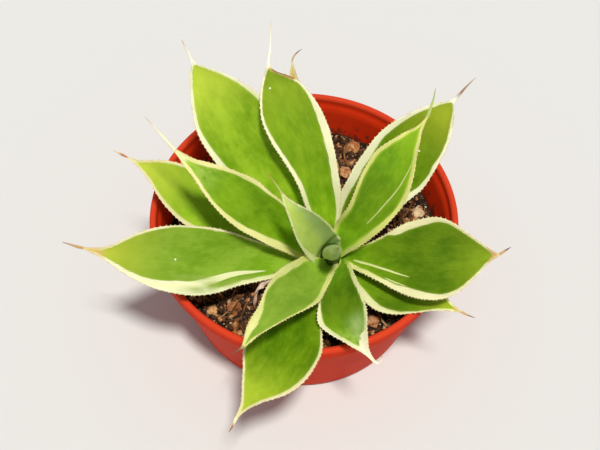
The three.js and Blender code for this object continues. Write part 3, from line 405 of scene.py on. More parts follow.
    (-26.9, 0.1, 79.7, -36.6, -18.8, 68.8), (-32.5, 2.0, 83.9, -42.9, -17.7, 72.5), (-38.2, 3.6, 87.9, -49.0, -16.4, 76.2),
    (-44.0, 5.2, 91.6, -54.9, -14.7, 80.0), (-49.8, 6.6, 95.0, -60.3, -12.3, 84.0), (-55.9, 7.7, 97.9, -65.0, -9.2, 88.2),
    (-62.2, 8.1, 100.3, -69.1, -5.4, 92.5), (-67.8, 7.7, 101.8, -72.0, -1.8, 96.2), (-72.4, 6.9, 102.7, -74.8, 0.9, 99.1),
    (-76.1, 6.3, 103.3, -77.3, 3.0, 101.3), (-78.9, 6.1, 104.0, -79.4, 4.4, 102.9), (-80.7, 6.2, 104.6, -80.8, 5.2, 103.9),
    (-82.4, 6.5, 105.2, -82.4, 5.9, 104.8),
  ], [(-84.2, 6.7, 105.9), (-86.9, 7.4, 107.1), (-89.2, 7.9, 108.1)]),
  ('leaf_14', 1, [
    (17.1, -5.3, 56.5, 7.8, -6.6, 55.3), (17.9, -2.6, 61.0, 5.5, -4.5, 59.7), (18.5, 0.0, 65.3, 3.4, -2.4, 64.0),
    (18.4, 3.3, 70.5, 1.3, 0.3, 69.2), (17.9, 6.5, 75.6, -0.7, 3.1, 74.2), (17.0, 10.3, 81.3, -2.6, 6.4, 80.0),
    (15.7, 14.1, 86.9, -4.5, 9.9, 85.5), (14.2, 17.8, 92.3, -6.3, 13.5, 90.9), (12.7, 21.6, 97.5, -8.1, 17.1, 96.0),
    (11.4, 25.5, 102.5, -9.5, 20.9, 101.0), (8.7, 29.0, 107.2, -10.8, 24.8, 105.7), (5.3, 32.2, 111.5, -11.4, 28.9, 110.4),
    (1.6, 35.4, 115.5, -11.1, 33.2, 114.8), (-1.7, 38.1, 118.8, -10.4, 36.8, 118.5), (-4.1, 40.5, 121.5, -9.8, 39.9, 121.5),
    (-5.6, 42.7, 123.8, -9.2, 42.4, 123.8), (-6.4, 44.4, 125.6, -8.8, 44.3, 125.5), (-7.0, 45.6, 126.7, -8.5, 45.5, 126.7),
    (-7.6, 46.8, 127.8, -8.3, 46.8, 127.8),
  ], [(-7.6, 48.5, 129.4), (-6.0, 50.2, 131.0), (-3.5, 51.7, 132.2)]),
]

# --------------------------------------------------------- leaf colouring
# Widths of the pale margins in mm against the place along the leaf (0 stem,
# 1 tip) on each side; pale streaks as (place, place across, half width in mm).
# Colours: blade dark, blade light, margin, margin towards the stem.
IVORY, CREAM, LEMON = (243, 240, 205), (235, 236, 178), (205, 214, 118)
# The brightness scale along each leaf is painted light and shade: it lightens or darkens parts of the blade for how
# they were lit.
LOOK = {
    "leaf_01": dict(
        painted_light_gain=[(0.1, 0.88), (.3, .84), (.5, 1.04), (1, 0.98)], blue=1.0,
        green=[(198, 222, 98), (224, 240, 136)], margin=(246, 246, 196), root=(238, 240, 176), glauc=0.04, grey=(-1, (172, 198, 134)),
        contact_shade=(.045, .02, .55), sprad=.62, hug=2.7,
        L=[(0, .9), (.3, .7), (1, .5)], R=[(0, 2.6), (.1, 3.0), (.2, 2.8), (.3, 1.9), (.4, 1.3), (.5, 1.0), (.7, .8), (1, .5)],
        spine=[(186, 196, 110), (184, 152, 76), (172, 124, 68)], tooth=0.62),
    "leaf_02": dict(
        painted_light_gain=[(0.1, 1.33), (0.2, 1.15), (0.33, 0.98), (0.51, 1.02), (0.69, 1.01), (1, 0.99)], blue=1.0,
        green=[(120, 158, 26), (152, 186, 54)], margin=(234, 234, 150), root=(222, 222, 126), glauc=0.12,
        L=[(0, .2), (.075, .3), (.11, 1.9), (.15, 2.7), (.19, 2.8), (.25, 3.2), (.32, 3.0), (.41, 3.2), (.46, 2.9), (.53, 1.8), (.6, 1.4), (.69, 1.2), (.75, 2.2),
           (.81, 3.0), (.86, 3.6), (.9, 3.1), (.94, 2.2), (1, 1.0)], pinch=[("L", .16, .55)], sprad=.62,
        R=[(0, 1.9), (.1, 2.0), (.2, 2.1), (.32, 1.9), (.38, 1.6), (.46, 1.9), (.53, 1.5), (.58, .8), (.65, .45), (.8, .35), (.9, .45),
           (.95, .8), (1, .7)],
        spine=[(184, 172, 112), (136, 106, 76), (96, 70, 56)], spos=(.1, .4), tooth=0.8),
    "leaf_03": dict(
        painted_light_gain=[(0.08, 1.6), (0.2, 1.32), (0.33, 1.06), (0.51, 1.0), (0.66, 1.27), (0.8, 1.32), (1, 1.22)], blue=0.85,
        green=[(88, 134, 4), (126, 166, 22)], margin=(236, 234, 136), root=(222, 222, 126), glauc=0.04,
        R=[(0, 1.5), (.15, 1.6), (.3, 1.7), (.48, 1.4), (.58, 1.4), (.66, 1.7), (.75, 1.9), (.84, 1.6), (.9, 1.1), (1, .8)],
        halo=.62, L=[(0, 1.8), (.11, 1.8), (.17, 2.2), (.25, 2.5), (.34, 2.2), (.48, 1.6), (.56, 1.9), (.65, 1.9), (.73, 1.8), (.84, 1.7), (.9, 1.2), (1, .8)],
        streakmix=.7,
        streaks=[[(.24, -.30, .02), (.30, -.32, .20), (.46, -.40, .26), (.6, -.52, .26), (.70, -.64, .22), (.82, -.80, .02)]],
        spine=[(190, 204, 120), (168, 190, 100), (150, 160, 84)], tooth=0.8),
    "leaf_04": dict(
        painted_light_gain=[(0.12, 1.65), (0.24, 1.17), (0.33, 0.98), (0.51, 0.85), (0.69, 1.0), (1, 1.03)], blue=0.72,
        green=[(98, 146, 6), (138, 178, 30)], margin=(242, 236, 158), root=(228, 224, 132), glauc=0.04, tipglauc=0.5, tan=.055, tancol=[(196, 208, 128), (246, 244, 196)], pinch=[("L", .10, .30)],
        L=[(0, .8), (.45, .9), (.5, 1.2), (.56, 1.6), (.62, 2.0), (.7, 1.4), (.78, 1.7), (.84, 2.0), (.9, 1.9), (1, 1.2)],
        R=[(0, 2.4), (.15, 2.5), (.2, 3.1), (.28, 3.4), (.37, 3.0), (.49, 2.5), (.62, 2.0), (.7, 1.5), (.78, 1.5), (.84, 1.8), (.9, 1.7), (1, 1.1)],
        spine=[(246, 242, 200), (240, 230, 194), (196, 158, 128)], tooth=0.8),
    "leaf_05": dict(
        painted_light_gain=[(0.16, 1.04), (0.33, 0.79), (0.51, 0.8), (0.62, 1.03), (0.72, 1.22), (1, 1.22)], blue=0.65,
        green=[(76, 118, 2), (112, 150, 16)], margin=(246, 242, 196), root=(220, 222, 120), glauc=0.06,
        L=[(0, .4), (.38, .5), (.46, 1.2), (.53, 2.1), (.6, 2.4), (.68, 2.5), (.76, 2.3), (.84, 2.3), (.9, 2.0), (1, 1.0)],
        R=[(0, 1.3), (.2, 1.5), (.32, 1.7), (.41, 1.3), (.49, 1.1), (.57, .9), (.64, 1.4), (.7, 1.5), (.8, 1.7), (.9, 2.2), (1, 1.0)],
        patch=[(.82, .62, .04, .30), (.87, .30, .045, .48), (.91, .05, .045, .8), (.97, .0, .06, 1.4)], tipglauc=.55, tipg0=(.64, .84), wash=[(.70, .50, .085, .36, .8), (.78, .25, .07, .3, .5)], washcol=(176, 198, 128), pinch=[("L", .27, .64)],
        spine=[(250, 242, 218), (232, 196, 160), (110, 80, 66)], tooth=0.85),
    "leaf_06": dict(
        painted_light_gain=[(0.1, 1.36), (0.22, 1.22), (0.33, 1.05), (0.51, 0.86), (0.69, 0.87), (0.85, 0.84), (1, 0.85)], blue=0.85,
        green=[(104, 150, 6), (144, 182, 26)], streaky=.5, margin=(254, 250, 206), root=(255, 249, 196), glauc=0.04, tipyellow=0.25,
        L=[(0, 1.0), (.15, 1.2), (.2, 1.6), (.28, 2.6), (.41, 2.9), (.5, 3.0), (.58, 3.4), (.67, 3.2), (.75, 2.5), (.8, 1.7), (.86, .9), (.93, 1.1), (1, 1.0)],
        R=[(0, 1.2), (.15, 1.5), (.24, 1.8), (.3, 2.1), (.5, 1.8), (.7, 1.4), (.83, .9), (.9, 1.1), (1, .8)],
        callus=[("L", .915, .992, 2.7)], dots=[(.905, .42)],
        spine=[(250, 247, 228), (246, 238, 214), (214, 190, 160)], tooth=0.85),
    "leaf_07": dict(
        painted_light_gain=[(0.1, 1.27), (0.22, 1.08), (0.33, 0.92), (0.51, 0.77), (0.69, 0.81), (0.85, 1.01), (1, 1.03)], blue=0.6,
        green=[(84, 126, 2), (122, 158, 28)], margin=(250, 242, 192), root=(238, 234, 150), glauc=0.05, tipyellow=0.2,
        # the pale margin on this side is drawn narrow from .1 to .32 as painted shade, where it lay in shadow
        R=[(0, 1.0), (.1, .6), (.32, .7), (.36, 2.2), (.42, 3.0), (.48, 3.1), (.54, 3.0), (.62, 2.4), (.7, 1.8), (.8, 1.7), (.88, 1.3), (1, .8)],
        L=[(0, 1.6), (.15, 1.8), (.3, 1.8), (.38, 2.5), (.45, 3.4), (.55, 3.3), (.62, 2.7), (.7, 2.0), (.78, 1.7), (.9, 1.3), (1, .8)],
        streaks=[[(.02, -.2, .3), (.09, -.30, .5), (.22, -.41, .45), (.35, -.46, .38), (.47, -.52, .03)],
                 [(.27, -.76, .03), (.33, -.77, .20), (.40, -.76, .20), (.47, -.78, .02)]],
        specks=(.62, .35, .2, .4), tan=.042, tanv=.045, tancol=[(206, 150, 96), (242, 206, 156)],
        spine=[(206, 168, 120), (120, 96, 86), (132, 124, 124)], tooth=0.9),
    "leaf_08": dict(
        painted_light_gain=[(0.2, 0.89), (0.5, 0.77), (0.69, 0.74), (0.85, 0.76), (1, 0.8)], blue=0.7,
        green=[(98, 142, 6), (138, 176, 24)], streaky=.3, margin=(255, 252, 212), root=(255, 250, 202), glauc=0.03, tipyellow=0.6,
        R=[(0, 3.0), (.2, 3.4), (.45, 3.6), (.58, 3.2), (.65, 2.6), (.7, 2.8), (.78, 2.1), (.87, 1.5), (.92, 1.7), (1, 1.0)],
        L=[(0, 2.6), (.2, 3.0), (.4, 3.2), (.5, 2.4), (.6, 1.7), (.66, 1.3), (.7, 1.7), (.78, 1.1), (.85, 1.4), (.92, 1.5), (1, .9)],
        dots=[(.70, -.25)],
        spine=[(248, 242, 220), (158, 124, 98), (186, 160, 140)], spos=(.14, .42), tooth=0.9),
    "leaf_09": dict(
        painted_light_gain=[(0.1, 1.17), (0.22, 0.99), (0.33, 0.85), (0.51, 0.85), (0.69, 0.78), (0.85, 0.82), (1, 0.85)], blue=0.88,
        green=[(116, 160, 26), (152, 188, 62)], margin=(242, 240, 200), root=(232, 232, 160), glauc=0.0, tipyellow=0.85,
        L=[(0, .6), (.4, .7), (.46, 1.0), (.55, .7), (.66, .8), (.72, 1.0), (.78, 1.2), (.9, 1.1), (1, .8)], mtan=(-1, .28), streakcol=(242, 240, 190),
        wash=[(.45, .77, .05, .16, .85), (.36, .80, .06, .14, .75), (.28, .72, .05, .12, .5), (.50, .50, .06, .08, .8), (.52, .84, .06, .11, .75), (.57, .50, .05, .08, .6)],
        R=[(0, 1.6), (.11, 1.7), (.25, 1.9), (.35, 1.9), (.42, 2.1), (.46, 3.2), (.5, 5.6), (.545, 6.2), (.61, 5.8), (.66, 4.8), (.7, 4.0),
           (.75, 3.1), (.82, 2.3), (.886, 1.7), (.93, 1.2), (1, .8)],
        streaks=[[(.78, .93, .3), (.68, .86, 1.2), (.57, .75, 1.9), (.47, .64, 1.9), (.43, .55, 1.6), (.35, .48, 1.2), (.25, .50, .6), (.17, .47, .1)]],
        dots=[(.615, .0)], tan=.075, streaky=2.4,
        spine=[(196, 156, 100), (178, 150, 126), (120, 100, 90)], tooth=0.85),
    "leaf_10": dict(
        painted_light_gain=[(0.2, 1.27), (0.33, 1.2), (0.51, 1.05), (0.69, 1.03), (0.85, 1.13), (1, 1.13)], blue=1.05,
        green=[(112, 152, 16), (154, 188, 40)], margin=(248, 246, 204), root=(242, 240, 176), glauc=0.0, tipyellow=0.5,
        L=[(0, 1.7), (.4, 2.2), (.62, 2.5), (.75, 1.8), (.88, 1.2), (1, .9)],
        R=[(0, 2.2), (.3, 2.6), (.45, 2.9), (.6, 2.5), (.75, 1.9), (.9, 1.4), (1, 1.1)],
        spine=[(247, 240, 218), (228, 208, 180), (172, 140, 116)], tooth=0.8),
    "leaf_11": dict(
        painted_light_gain=[(0.3, 0.8), (0.51, 0.8), (0.69, 0.79), (0.85, 1.06), (1, 1.03)], blue=0.8,
        green=[(86, 130, 4), (132, 170, 22)], margin=(244, 242, 202), root=(226, 228, 150), glauc=0.0, tipyellow=0.5,
        L=[(0, 1.4), (.6, 1.2), (.8, 1.1), (1, 1.0)], mtan=(0, .5),
        R=[(0, .8), (.4, .9), (.48, 1.0), (.55, 1.4), (.61, 1.2), (.69, 1.6), (.76, 1.8), (.82, 1.7), (.9, 1.4), (1, 1.0)],
        spine=[(250, 240, 196), (186, 122, 76), (104, 64, 44)], spos=(.34, .62), tooth=0.85),
    "leaf_12": dict(
        painted_light_gain=[(0.1, 1.27), (0.33, 1.05), (0.51, 0.8), (0.69, 0.94), (1, 0.94)], blue=0.6,
        green=[(78, 120, 2), (116, 154, 18)], margin=(246, 242, 184), root=(214, 222, 150), glauc=0.05, tipyellow=0.5,
        L=[(0, 3.0), (.15, 3.8), (.28, 4.2), (.36, 3.7), (.43, 2.9), (.53, 2.1), (.62, 1.4), (.70, .9), (.78, .75), (.86, 1.0), (1, .8)], streaky=2.0,
        R=[(0, 1.6), (1, .9)],
        tan=.05, spine=[(206, 168, 124), (158, 122, 102), (104, 88, 82)], sprad=.85, tooth=0.8),
    "leaf_13": dict(
        painted_light_gain=[(0.3, 1.13), (0.51, 1.13), (0.69, 0.96), (0.85, 0.97), (1, 0.94)], blue=1.0,
        green=[(126, 166, 14), (160, 192, 40)], margin=(244, 242, 200), root=(228, 230, 160), glauc=0.05, tipyellow=0.7,
        L=[(0, 1.6), (.6, 1.3), (1, 1.0)], R=[(0, 2.4), (.6, 2.0), (.85, 1.4), (1, 1.0)], mtan=(0, .5),
        spine=[(196, 130, 90), (226, 206, 166), (196, 166, 136)], tooth=0.8),
    "leaf_14": dict(
        painted_light_gain=[(0.1, 0.94), (1, 0.94)], blue=0.9,
        green=[(104, 146, 20), (140, 176, 40)], margin=(242, 242, 200), root=(226, 228, 150), glauc=0.05, tipyellow=0.6,
        L=[(0, 2.4), (.6, 2.2), (.85, 1.4), (1, .9)], R=[(0, 2.2), (.6, 1.9), (.85, 1.3), (1, .8)], tan=.11,
        spine=[(206, 180, 150), (130, 100, 88), (110, 90, 84)], sprad=.8, tooth=0.8),
}


def leaf_material(name, look, seed):
    n = Nodes("skin_" + name)
    lx, lu, u = n.attr("lx"), n.attr("lu"), n.attr("u")
    wide = n.noise(n.vec(n.math("MULTIPLY", lx, .10), n.math("MULTIPLY", lu, .045), seed * 3.7), 1.0, 2.0, .5, .4)
    mott = n.noise(n.vec(n.math("MULTIPLY", lx, .42), n.math("MULTIPLY", lu, .22), seed * 5.1), 1.0, 3.0, .6)
    fine = n.noise(n.vec(n.math("MULTIPLY", lx, 2.3), n.math("MULTIPLY", lu, .085), seed * 1.9), 1.0, 2.0, .55)
    vein = n.noise(n.vec(n.math("MULTIPLY", lx, 5.0), n.math("MULTIPLY", lu, .22), seed * 2.3), 1.0, 1.0, .5)
    grain = n.noise(n.vec(n.math("MULTIPLY", lx, 3.2), n.math("MULTIPLY", lu, 3.2), seed), 1.0, 2.0, .6)

    # blade
    t = n.math("ADD", n.math("MULTIPLY", wide, .75), n.math("MULTIPLY", mott, .35))
    t = n.math("ADD", t, n.math("MULTIPLY", n.math("SUBTRACT", fine, .5), .16))
    t = n.step(.32, .78, t)
    g1, g2 = (srgb(*c) for c in look["green"])
    col = n.mix(t, g1, g2)
    # painted shade: a little darker towards the stem, where the blade lies deep in the rosette
    base_shade = n.step(.16, .0, u)
    col = n.mix(n.math("MULTIPLY", base_shade, .25), col, srgb(70, 112, 14))
    # pale lengthwise lines
    line = n.step(.60, .72, fine)
    col = n.mix(n.math("MULTIPLY", line, .07), col, srgb(190, 210, 90))
    line2 = n.step(.56, .66, vein)
    col = n.mix(n.math("MULTIPLY", line2, .07), col, srgb(70, 104, 10))
    # waxy bloom
    bloom = n.math("MULTIPLY", n.step(.46, .74, mott), .06)
    gl = n.math("ADD", bloom, look.get("glauc", 0.0))
    col = n.mix(gl, col, srgb(146, 172, 100))
    if look.get("grey"):
        side, c = look["grey"]
        k = n.step(-1.0, 5.0, n.math("ADD", n.math("MULTIPLY", lx, float(side)), n.math("MULTIPLY", n.math("SUBTRACT", mott, .5), 3.0)))
        col = n.mix(n.math("MULTIPLY", k, .8), col, srgb(*c))
    # painted shade: the foot of the leaf darkened where it meets the spear, standing in for its contact shadow
    if look.get("contact_shade"):
        a_, b_, c_ = look["contact_shade"]
        col = n.mix(n.math("MULTIPLY", n.step(a_, b_, u), c_), col, srgb(58, 92, 26))
    if look.get("tipglauc"):
        k = n.math("MULTIPLY", n.step(*look.get("tipg0", (.70, .88)), u), look["tipglauc"])
        k = n.math("MULTIPLY", k, n.step(.2, .6, mott))
        col = n.mix(k, col, srgb(178, 206, 112))
    if look.get("tipyellow"):
        k = n.math("MULTIPLY", n.step(.62, .98, u), look["tipyellow"])
        col = n.mix(k, col, srgb(206, 214, 74))
    col = n.mix(n.math("MULTIPLY", n.attr("back"), .35), col, srgb(150, 176, 112))
    if look.get("specks"):
        sp = n.voronoi(n.vec(n.math("MULTIPLY", lx, .95), n.math("MULTIPLY", lu, .62), 0.0), 1.0)
        k = n.math("MULTIPLY", n.step(.26, .12, sp), n.attr("specks"))
        col = n.mix(n.math("MULTIPLY", k, .5), col, srgb(34, 62, 6))

    # pale margins: a broken inner edge that runs into the green in fine lines
    edge = n.math("MINIMUM", n.attr("aL"), n.attr("aR"))
    edge = n.math("ADD", edge, n.math("MULTIPLY", n.math("SUBTRACT", fine, .5), .9))
    edge = n.math("ADD", edge, n.math("MULTIPLY", n.math("SUBTRACT", mott, .5), .6))
    band = n.step(.38, -.26, edge)
    halo = n.step(1.5, -.2, edge)
    cream = n.mix(n.step(.0, .42, u), srgb(*look["root"]), srgb(*look["margin"]))
    cream = n.mix(n.math("MULTIPLY", n.step(.45, .75, mott), .35), cream, srgb(255, 250, 214))
    inner = n.math("MULTIPLY", n.step(-1.9, -.1, edge), n.step(.42, .60, fine))
    sk = look.get("streaky", 1.0)
    cream = n.mix(n.math("MULTIPLY", inner, .30 * min(sk, 1.3)), cream, srgb(196, 210, 120))
    wideb = n.math("MULTIPLY", n.step(-1.2, -3.4, edge), n.step(.50, .66, fine))
    cream = n.mix(n.math("MULTIPLY", wideb, .34 * sk), cream, srgb(188, 208, 150))
    rim = n.math("MINIMUM", n.attr("dL"), n.attr("dR"))
    tanrim = n.math("MULTIPLY", n.step(.55, .05, rim), n.step(.42, .62, mott))
    cream = n.mix(n.math("MULTIPLY", tanrim, n.math("ADD", .36, n.math("MULTIPLY", n.step(.66, .92, u), .40))), cream, srgb(200, 154, 104))
    if look.get("mtan"):
        side, k = look["mtan"]
        if side:
            k = n.math("MULTIPLY", n.step(-.5, .5, n.math("MULTIPLY", lx, float(side))), k)
        cream = n.mix(k, cream, srgb(218, 196, 128))
    # where a leaf clasps the stem its margins are green
    hold = n.step(-.5, 2.5, lu)
    band = n.math("MULTIPLY", band, n.math("ADD", .2, n.math("MULTIPLY", hold, .8)))
    blade = n.mix(n.math("MULTIPLY", halo, look.get("halo", .30)), col, srgb(172, 198, 62))

    # painted light and shade: scale the blade's colour along the leaf, brighter or darker where it was lit or shaded
    if look.get("painted_light_gain"):
        g_ = n.ramp(u, [(p, (v / 2, v / 2, v * look.get("blue", 1.0) / 2, 1.0)) for p, v in look["painted_light_gain"]])
        sc = n.t.nodes.new("ShaderNodeVectorMath")
        sc.operation = "MULTIPLY"
        n.put(sc.inputs[0], g_)
        sc.inputs[1].default_value = (2.0, 2.0, 2.0)
        g2_ = n.t.nodes.new("ShaderNodeVectorMath")
        g2_.operation = "MULTIPLY"
        n.put(g2_.inputs[0], sc.outputs[0])
        n.put(g2_.inputs[1], blade)
        blade = g2_.outputs[0]
    col = n.mix(band, blade, cream)

    # inner streaks
    for i in range(len(look.get("streaks", []))):
        off = n.math("ABSOLUTE", n.attr(f"so{i}"))
        d = n.math("SUBTRACT", off, n.attr(f"sw{i}"))
        d = n.math("ADD", d, n.math("MULTIPLY", n.math("SUBTRACT", fine, .5), .35))
        k = n.math("MULTIPLY", n.step(.16, -.10, d), n.step(.0, .16, n.attr(f"sw{i}")))
        col = n.mix(n.math("MULTIPLY", k, look.get("streakmix", .9)), col, srgb(*look.get("streakcol", (240, 240, 172))))

    if look.get("wash"):
        k = n.math("MULTIPLY", n.attr("wash"), n.math("ADD", .55, n.math("MULTIPLY", fine, .9)), clamp=True)
        col = n.mix(k, col, srgb(*look.get("washcol", (150, 172, 78))))

    # tip, callus, dried patch, dots
    if look.get("tan"):
        k = n.math("ADD", n.attr("tan"), n.math("MULTIPLY", n.math("SUBTRACT", mott, .5), .5))
        k = n.math("ADD", k, n.math("MULTIPLY", n.math("SUBTRACT", fine, .5), .9))
        k = n.math("MULTIPLY", n.step(.25, .95, k), n.math("SUBTRACT", 1.0, n.math("MULTIPLY", band, .45)))
        b1, b2 = look.get("tancol", [(176, 132, 62), (226, 198, 122)])
        brown = n.mix(fine, srgb(*b1), srgb(*b2))
        col = n.mix(k, col, brown)
    pale = n.mix(n.step(.35, .65, mott), srgb(206, 172, 100), srgb(232, 206, 132))
    col = n.mix(n.attr("callus"), col, n.mix(n.step(.9, .3, rim), pale, srgb(160, 100, 66)))
    dry = n.step(.35, .6, n.math("ADD", n.attr("patch"), n.math("MULTIPLY", n.math("SUBTRACT", mott, .5), .7)))
    col = n.mix(dry, col, n.mix(n.step(.30, .62, grain), srgb(240, 220, 172), srgb(255, 252, 226)))
    col = n.mix(n.attr("dot"), col, srgb(252, 252, 240))

    # teeth and spine
    tooth = n.ramp(n.attr("tooth"), [(0.0, srgb(238, 234, 190)), (.45, srgb(226, 200, 150)), (1.0, srgb(140, 84, 52))])
    col = n.mix(n.step(.01, .12, n.attr("tooth")), col, tooth)
    s0, s1, s2 = (srgb(*c) for c in look["spine"])
    p0, p1 = look.get("spos", (.42, .72))
    spine = n.ramp(n.attr("spine"), [(0.0, s0), (p0, s0), (p1, s1), (1.0, s2)])
    spine = n.mix(n.math("MULTIPLY", n.step(.5, .7, fine), .25), spine, srgb(150, 110, 80))
    col = n.mix(n.step(.0, .10, n.attr("spine")), col, spine)

    rough = n.math("ADD", n.math("MULTIPLY", mott, .16), .42)
    rough = n.math("ADD", rough, n.math("MULTIPLY", band, .08))
    h = n.math("ADD", n.math("MULTIPLY", fine, .5), n.math("MULTIPLY", vein, .22))
    h = n.math("ADD", h, n.math("MULTIPLY", mott, .9))
    h = n.math("ADD", h, n.math("MULTIPLY", grain, .14))
    nor = n.bump(h, .20, .0007)
    return n.done(col, rough, nor, Specular_IOR_Level=.12)


# ----------------------------------------------------------- leaf geometry
CHANNEL = [[0, 0.30], [0.25, 0.20], [0.6, 0.15], [1, 0.12]]
THICK = [[0, 3.3], [0.35, 2.5], [1, 1.3]]
NC = 35                                   # columns across the upper face
vx = np.linspace(-1, 1, NC)
COLS = .42 * vx + .58 * np.sin(vx * math.pi / 2)
RING_V = np.concatenate([COLS, COLS[-2:0:-1]])        # once round a section
RING_TOP = np.concatenate([np.ones(NC), -np.ones(NC - 2)])


def build_leaf(name, channel, edges, spine, seed):
    look = LOOK[name]
    r = np.random.default_rng(900 + seed)
    e = np.asarray(edges, float)
    L0, R0 = e[:, :3], e[:, 3:]
    M0 = (L0 + R0) / 2
    s0 = np.r_[0, np.cumsum(np.linalg.norm(np.diff(M0, axis=0), axis=1))]
    length = s0[-1]
    nd = 601
    q = np.linspace(0, length, nd)
    Ld = soften(spline(s0, L0, q), .7 / (length / nd))
    Rd = soften(spline(s0, R0, q), .7 / (length / nd))

    # rows: a run back into the stem, then the blade, closer together at the tip
    t0 = unit(M0[3] - M0[0])
    out = M0[0] - CROWN
    out -= AXIS * (out @ AXIS)
    flat = np.linalg.norm(t0 - AXIS * (t0 @ AXIS))
    run = max(6.5, min(14.0, max(.5, np.linalg.norm(out) - 2.5) / flat))
    nb, nx = int(length / .52), 12
    x = np.linspace(0, 1, nb)
    u_rows = x + .10 * x * (1 - x)        # a little denser towards the tip
    su = u_rows * length
    pick = lambda a: np.stack([np.interp(su, q, a[:, i]) for i in range(3)], -1)
    Lr, Rr = pick(Ld), pick(Rd)
    kk = np.linspace(-run, 0, nx, endpoint=False)
    mid, hw = (Lr[0] + Rr[0]) / 2, (Rr[0] - Lr[0]) / 2
    thin = (1 - .5 * smoothstep(0, 1, -kk / run))[:, None]
    Lr = np.vstack([mid - hw * thin + t0 * kk[:, None], Lr])
    Rr = np.vstack([mid + hw * thin + t0 * kk[:, None], Rr])
    for side, u_end, frac in look.get("pinch", []):
        k = (frac * (1 - smoothstep(0, u_end, np.r_[kk, su] / length)))[:, None]
        if side == "L":
            Lr = Lr + (Rr - Lr) * k
        else:
            Rr = Rr + (Lr - Rr) * k
    su = np.r_[kk, su]
    u = np.clip(su / length, 0, 1)
    M = (Lr + Rr) / 2
    T = unit(np.gradient(soften(M, 4), axis=0))
    T[:nx] = t0
    across = Rr - Lr
    w = np.linalg.norm(across, axis=1)
    across = across / w[:, None]
    up = np.cross(T, across - T * (across * T).sum(1, keepdims=True))
    up = unit(up)
    up[(up @ AXIS) < 0] *= -1
    up = unit(soften(up, 5))

    # teeth places along each margin
    teeth = {}
    for side in (-1, 1):
        p, places = 9.0 + r.random() * 2, []
        while p < length - 3.0:
            places.append(p)
            p += 2.1 * (.74 + .52 * r.random()) * (.85 + .3 * (w[np.searchsorted(su, p)] > 12))
        teeth[side] = places
    bulge = {s: sum(.15 * look["tooth"] * np.exp(-((su - p) / .55) ** 2) for p in teeth[s]) for s in (-1, 1)}

    cup = ramp(CHANNEL, u) * channel * w + .10 * w * smoothstep(.86, 1, u)
    thick = np.minimum(ramp(THICK, u), w * .5)
    te = np.minimum(.55, thick * .5)
    ph = r.random(4) * 6.28
    V = RING_V[None, :]
    av = np.abs(V)
    half = w[:, None] / 2
    wave = (.34 * np.sin(su / 7.3 + ph[0]) + .22 * np.sin(su / 3.9 + ph[1]))[:, None] * (V < 0) \
        + (.34 * np.sin(su / 6.7 + ph[2]) + .22 * np.sin(su / 4.3 + ph[3]))[:, None] * (V > 0)
    wave = wave * av ** 3 * smoothstep(0, .15, u)[:, None] * (1 - smoothstep(.85, 1, u))[:, None]
    # gentle swells of the blade
    swell = .22 * np.sin(su[:, None] / 9.0 + 2.2 * V + ph[1]) * (1 - av ** 2)
    body = -cup[:, None] * (1 - V ** 2) + wave + swell
    rnd = np.clip((av - .95) / .05, 0, 1)
    rnd = 1 - np.sqrt(1 - rnd ** 2)
    th = thick[:, None] * (1 - .82 * av ** 1.6)
    top = body - te[:, None] / 2 * rnd
    bot = body - np.maximum(th, te[:, None]) * (1 - rnd) - te[:, None] / 2 * rnd
    if look.get("hug"):
        # the fleshy foot of the youngest leaf lies close round the spear
        top = top + look["hug"] * (smoothstep(-.04, .10, u) * smoothstep(.44, .14, u))[:, None] * (1 - V ** 2) ** .9
    h = np.where(RING_TOP[None, :] > 0, top, bot)
    bul = np.where(V < 0, bulge[-1][:, None], bulge[1][:, None]) * smoothstep(.90, 1.0, av)
    lat = half * V + np.sign(V) * bul
    P = M[:, None, :] + across[:, None, :] * lat[..., None] + up[:, None, :] * h[..., None]

    # terminal spine: the section closes to a round as it leaves the blade
    sp = np.vstack([M[-1], np.asarray(spine, float)])
    ss = np.r_[0, np.cumsum(np.linalg.norm(np.diff(sp, axis=0), axis=1))]
    ns = 26
    xs = np.linspace(0, 1, ns + 1)[1:]
    pts = spline(np.r_[-2.0, ss], np.vstack([M[-1] - T[-1] * 2.0, sp]), xs * ss[-1])
    tt = unit(np.gradient(np.vstack([M[-1], pts]), axis=0))[1:]
    cen0 = -(cup[-1] + thick[-1]) * .5
    rings = []
    for j in range(ns):
        b = unit(across[-1] - tt[j] * (across[-1] @ tt[j]))
        n_ = np.cross(tt[j], b)
        if n_ @ up[-1] < 0:
            n_ = -n_
        s = xs[j] * ss[-1]
        k = float(smoothstep(0, 3.2, s))
        rad = (.76 * (1 - xs[j]) ** .85 + .06) * look.get("sprad", 1.0)
        circ_l, circ_h = RING_V * rad, np.sqrt(np.clip(1 - RING_V ** 2, 0, 1)) * rad * RING_TOP
        fl = 1 - .45 * float(smoothstep(0, 3.0, s))
        lat_s = (1 - k) * lat[-1] * fl + k * circ_l
        h_s = (1 - k) * h[-1] * fl + k * (circ_h + cen0 * (1 - float(smoothstep(1.0, 8.0, s))))
        rings.append(pts[j] + b * lat_s[:, None] + n_ * h_s[:, None])
    P = np.concatenate([P, np.array(rings)], 0)
    rows, cols = P.shape[:2]
    verts = P.reshape(-1, 3)
    faces = [tuple(f) for f in grid_faces(rows, cols)]
    # close the ends with strips between the two faces
    for base, flip in ((0, False), ((rows - 1) * cols, True)):
        for i in range(NC - 1):
            a, b_ = i, i + 1
            c, d = (cols - b_) % cols, (cols - a) % cols
            quad = [base + a, base + d, base + c, base + b_]
            quad = [k for i_, k in enumerate(quad) if k not in quad[:i_]]
            if len(quad) > 2:
                faces.append(tuple(quad[::-1] if flip else quad))

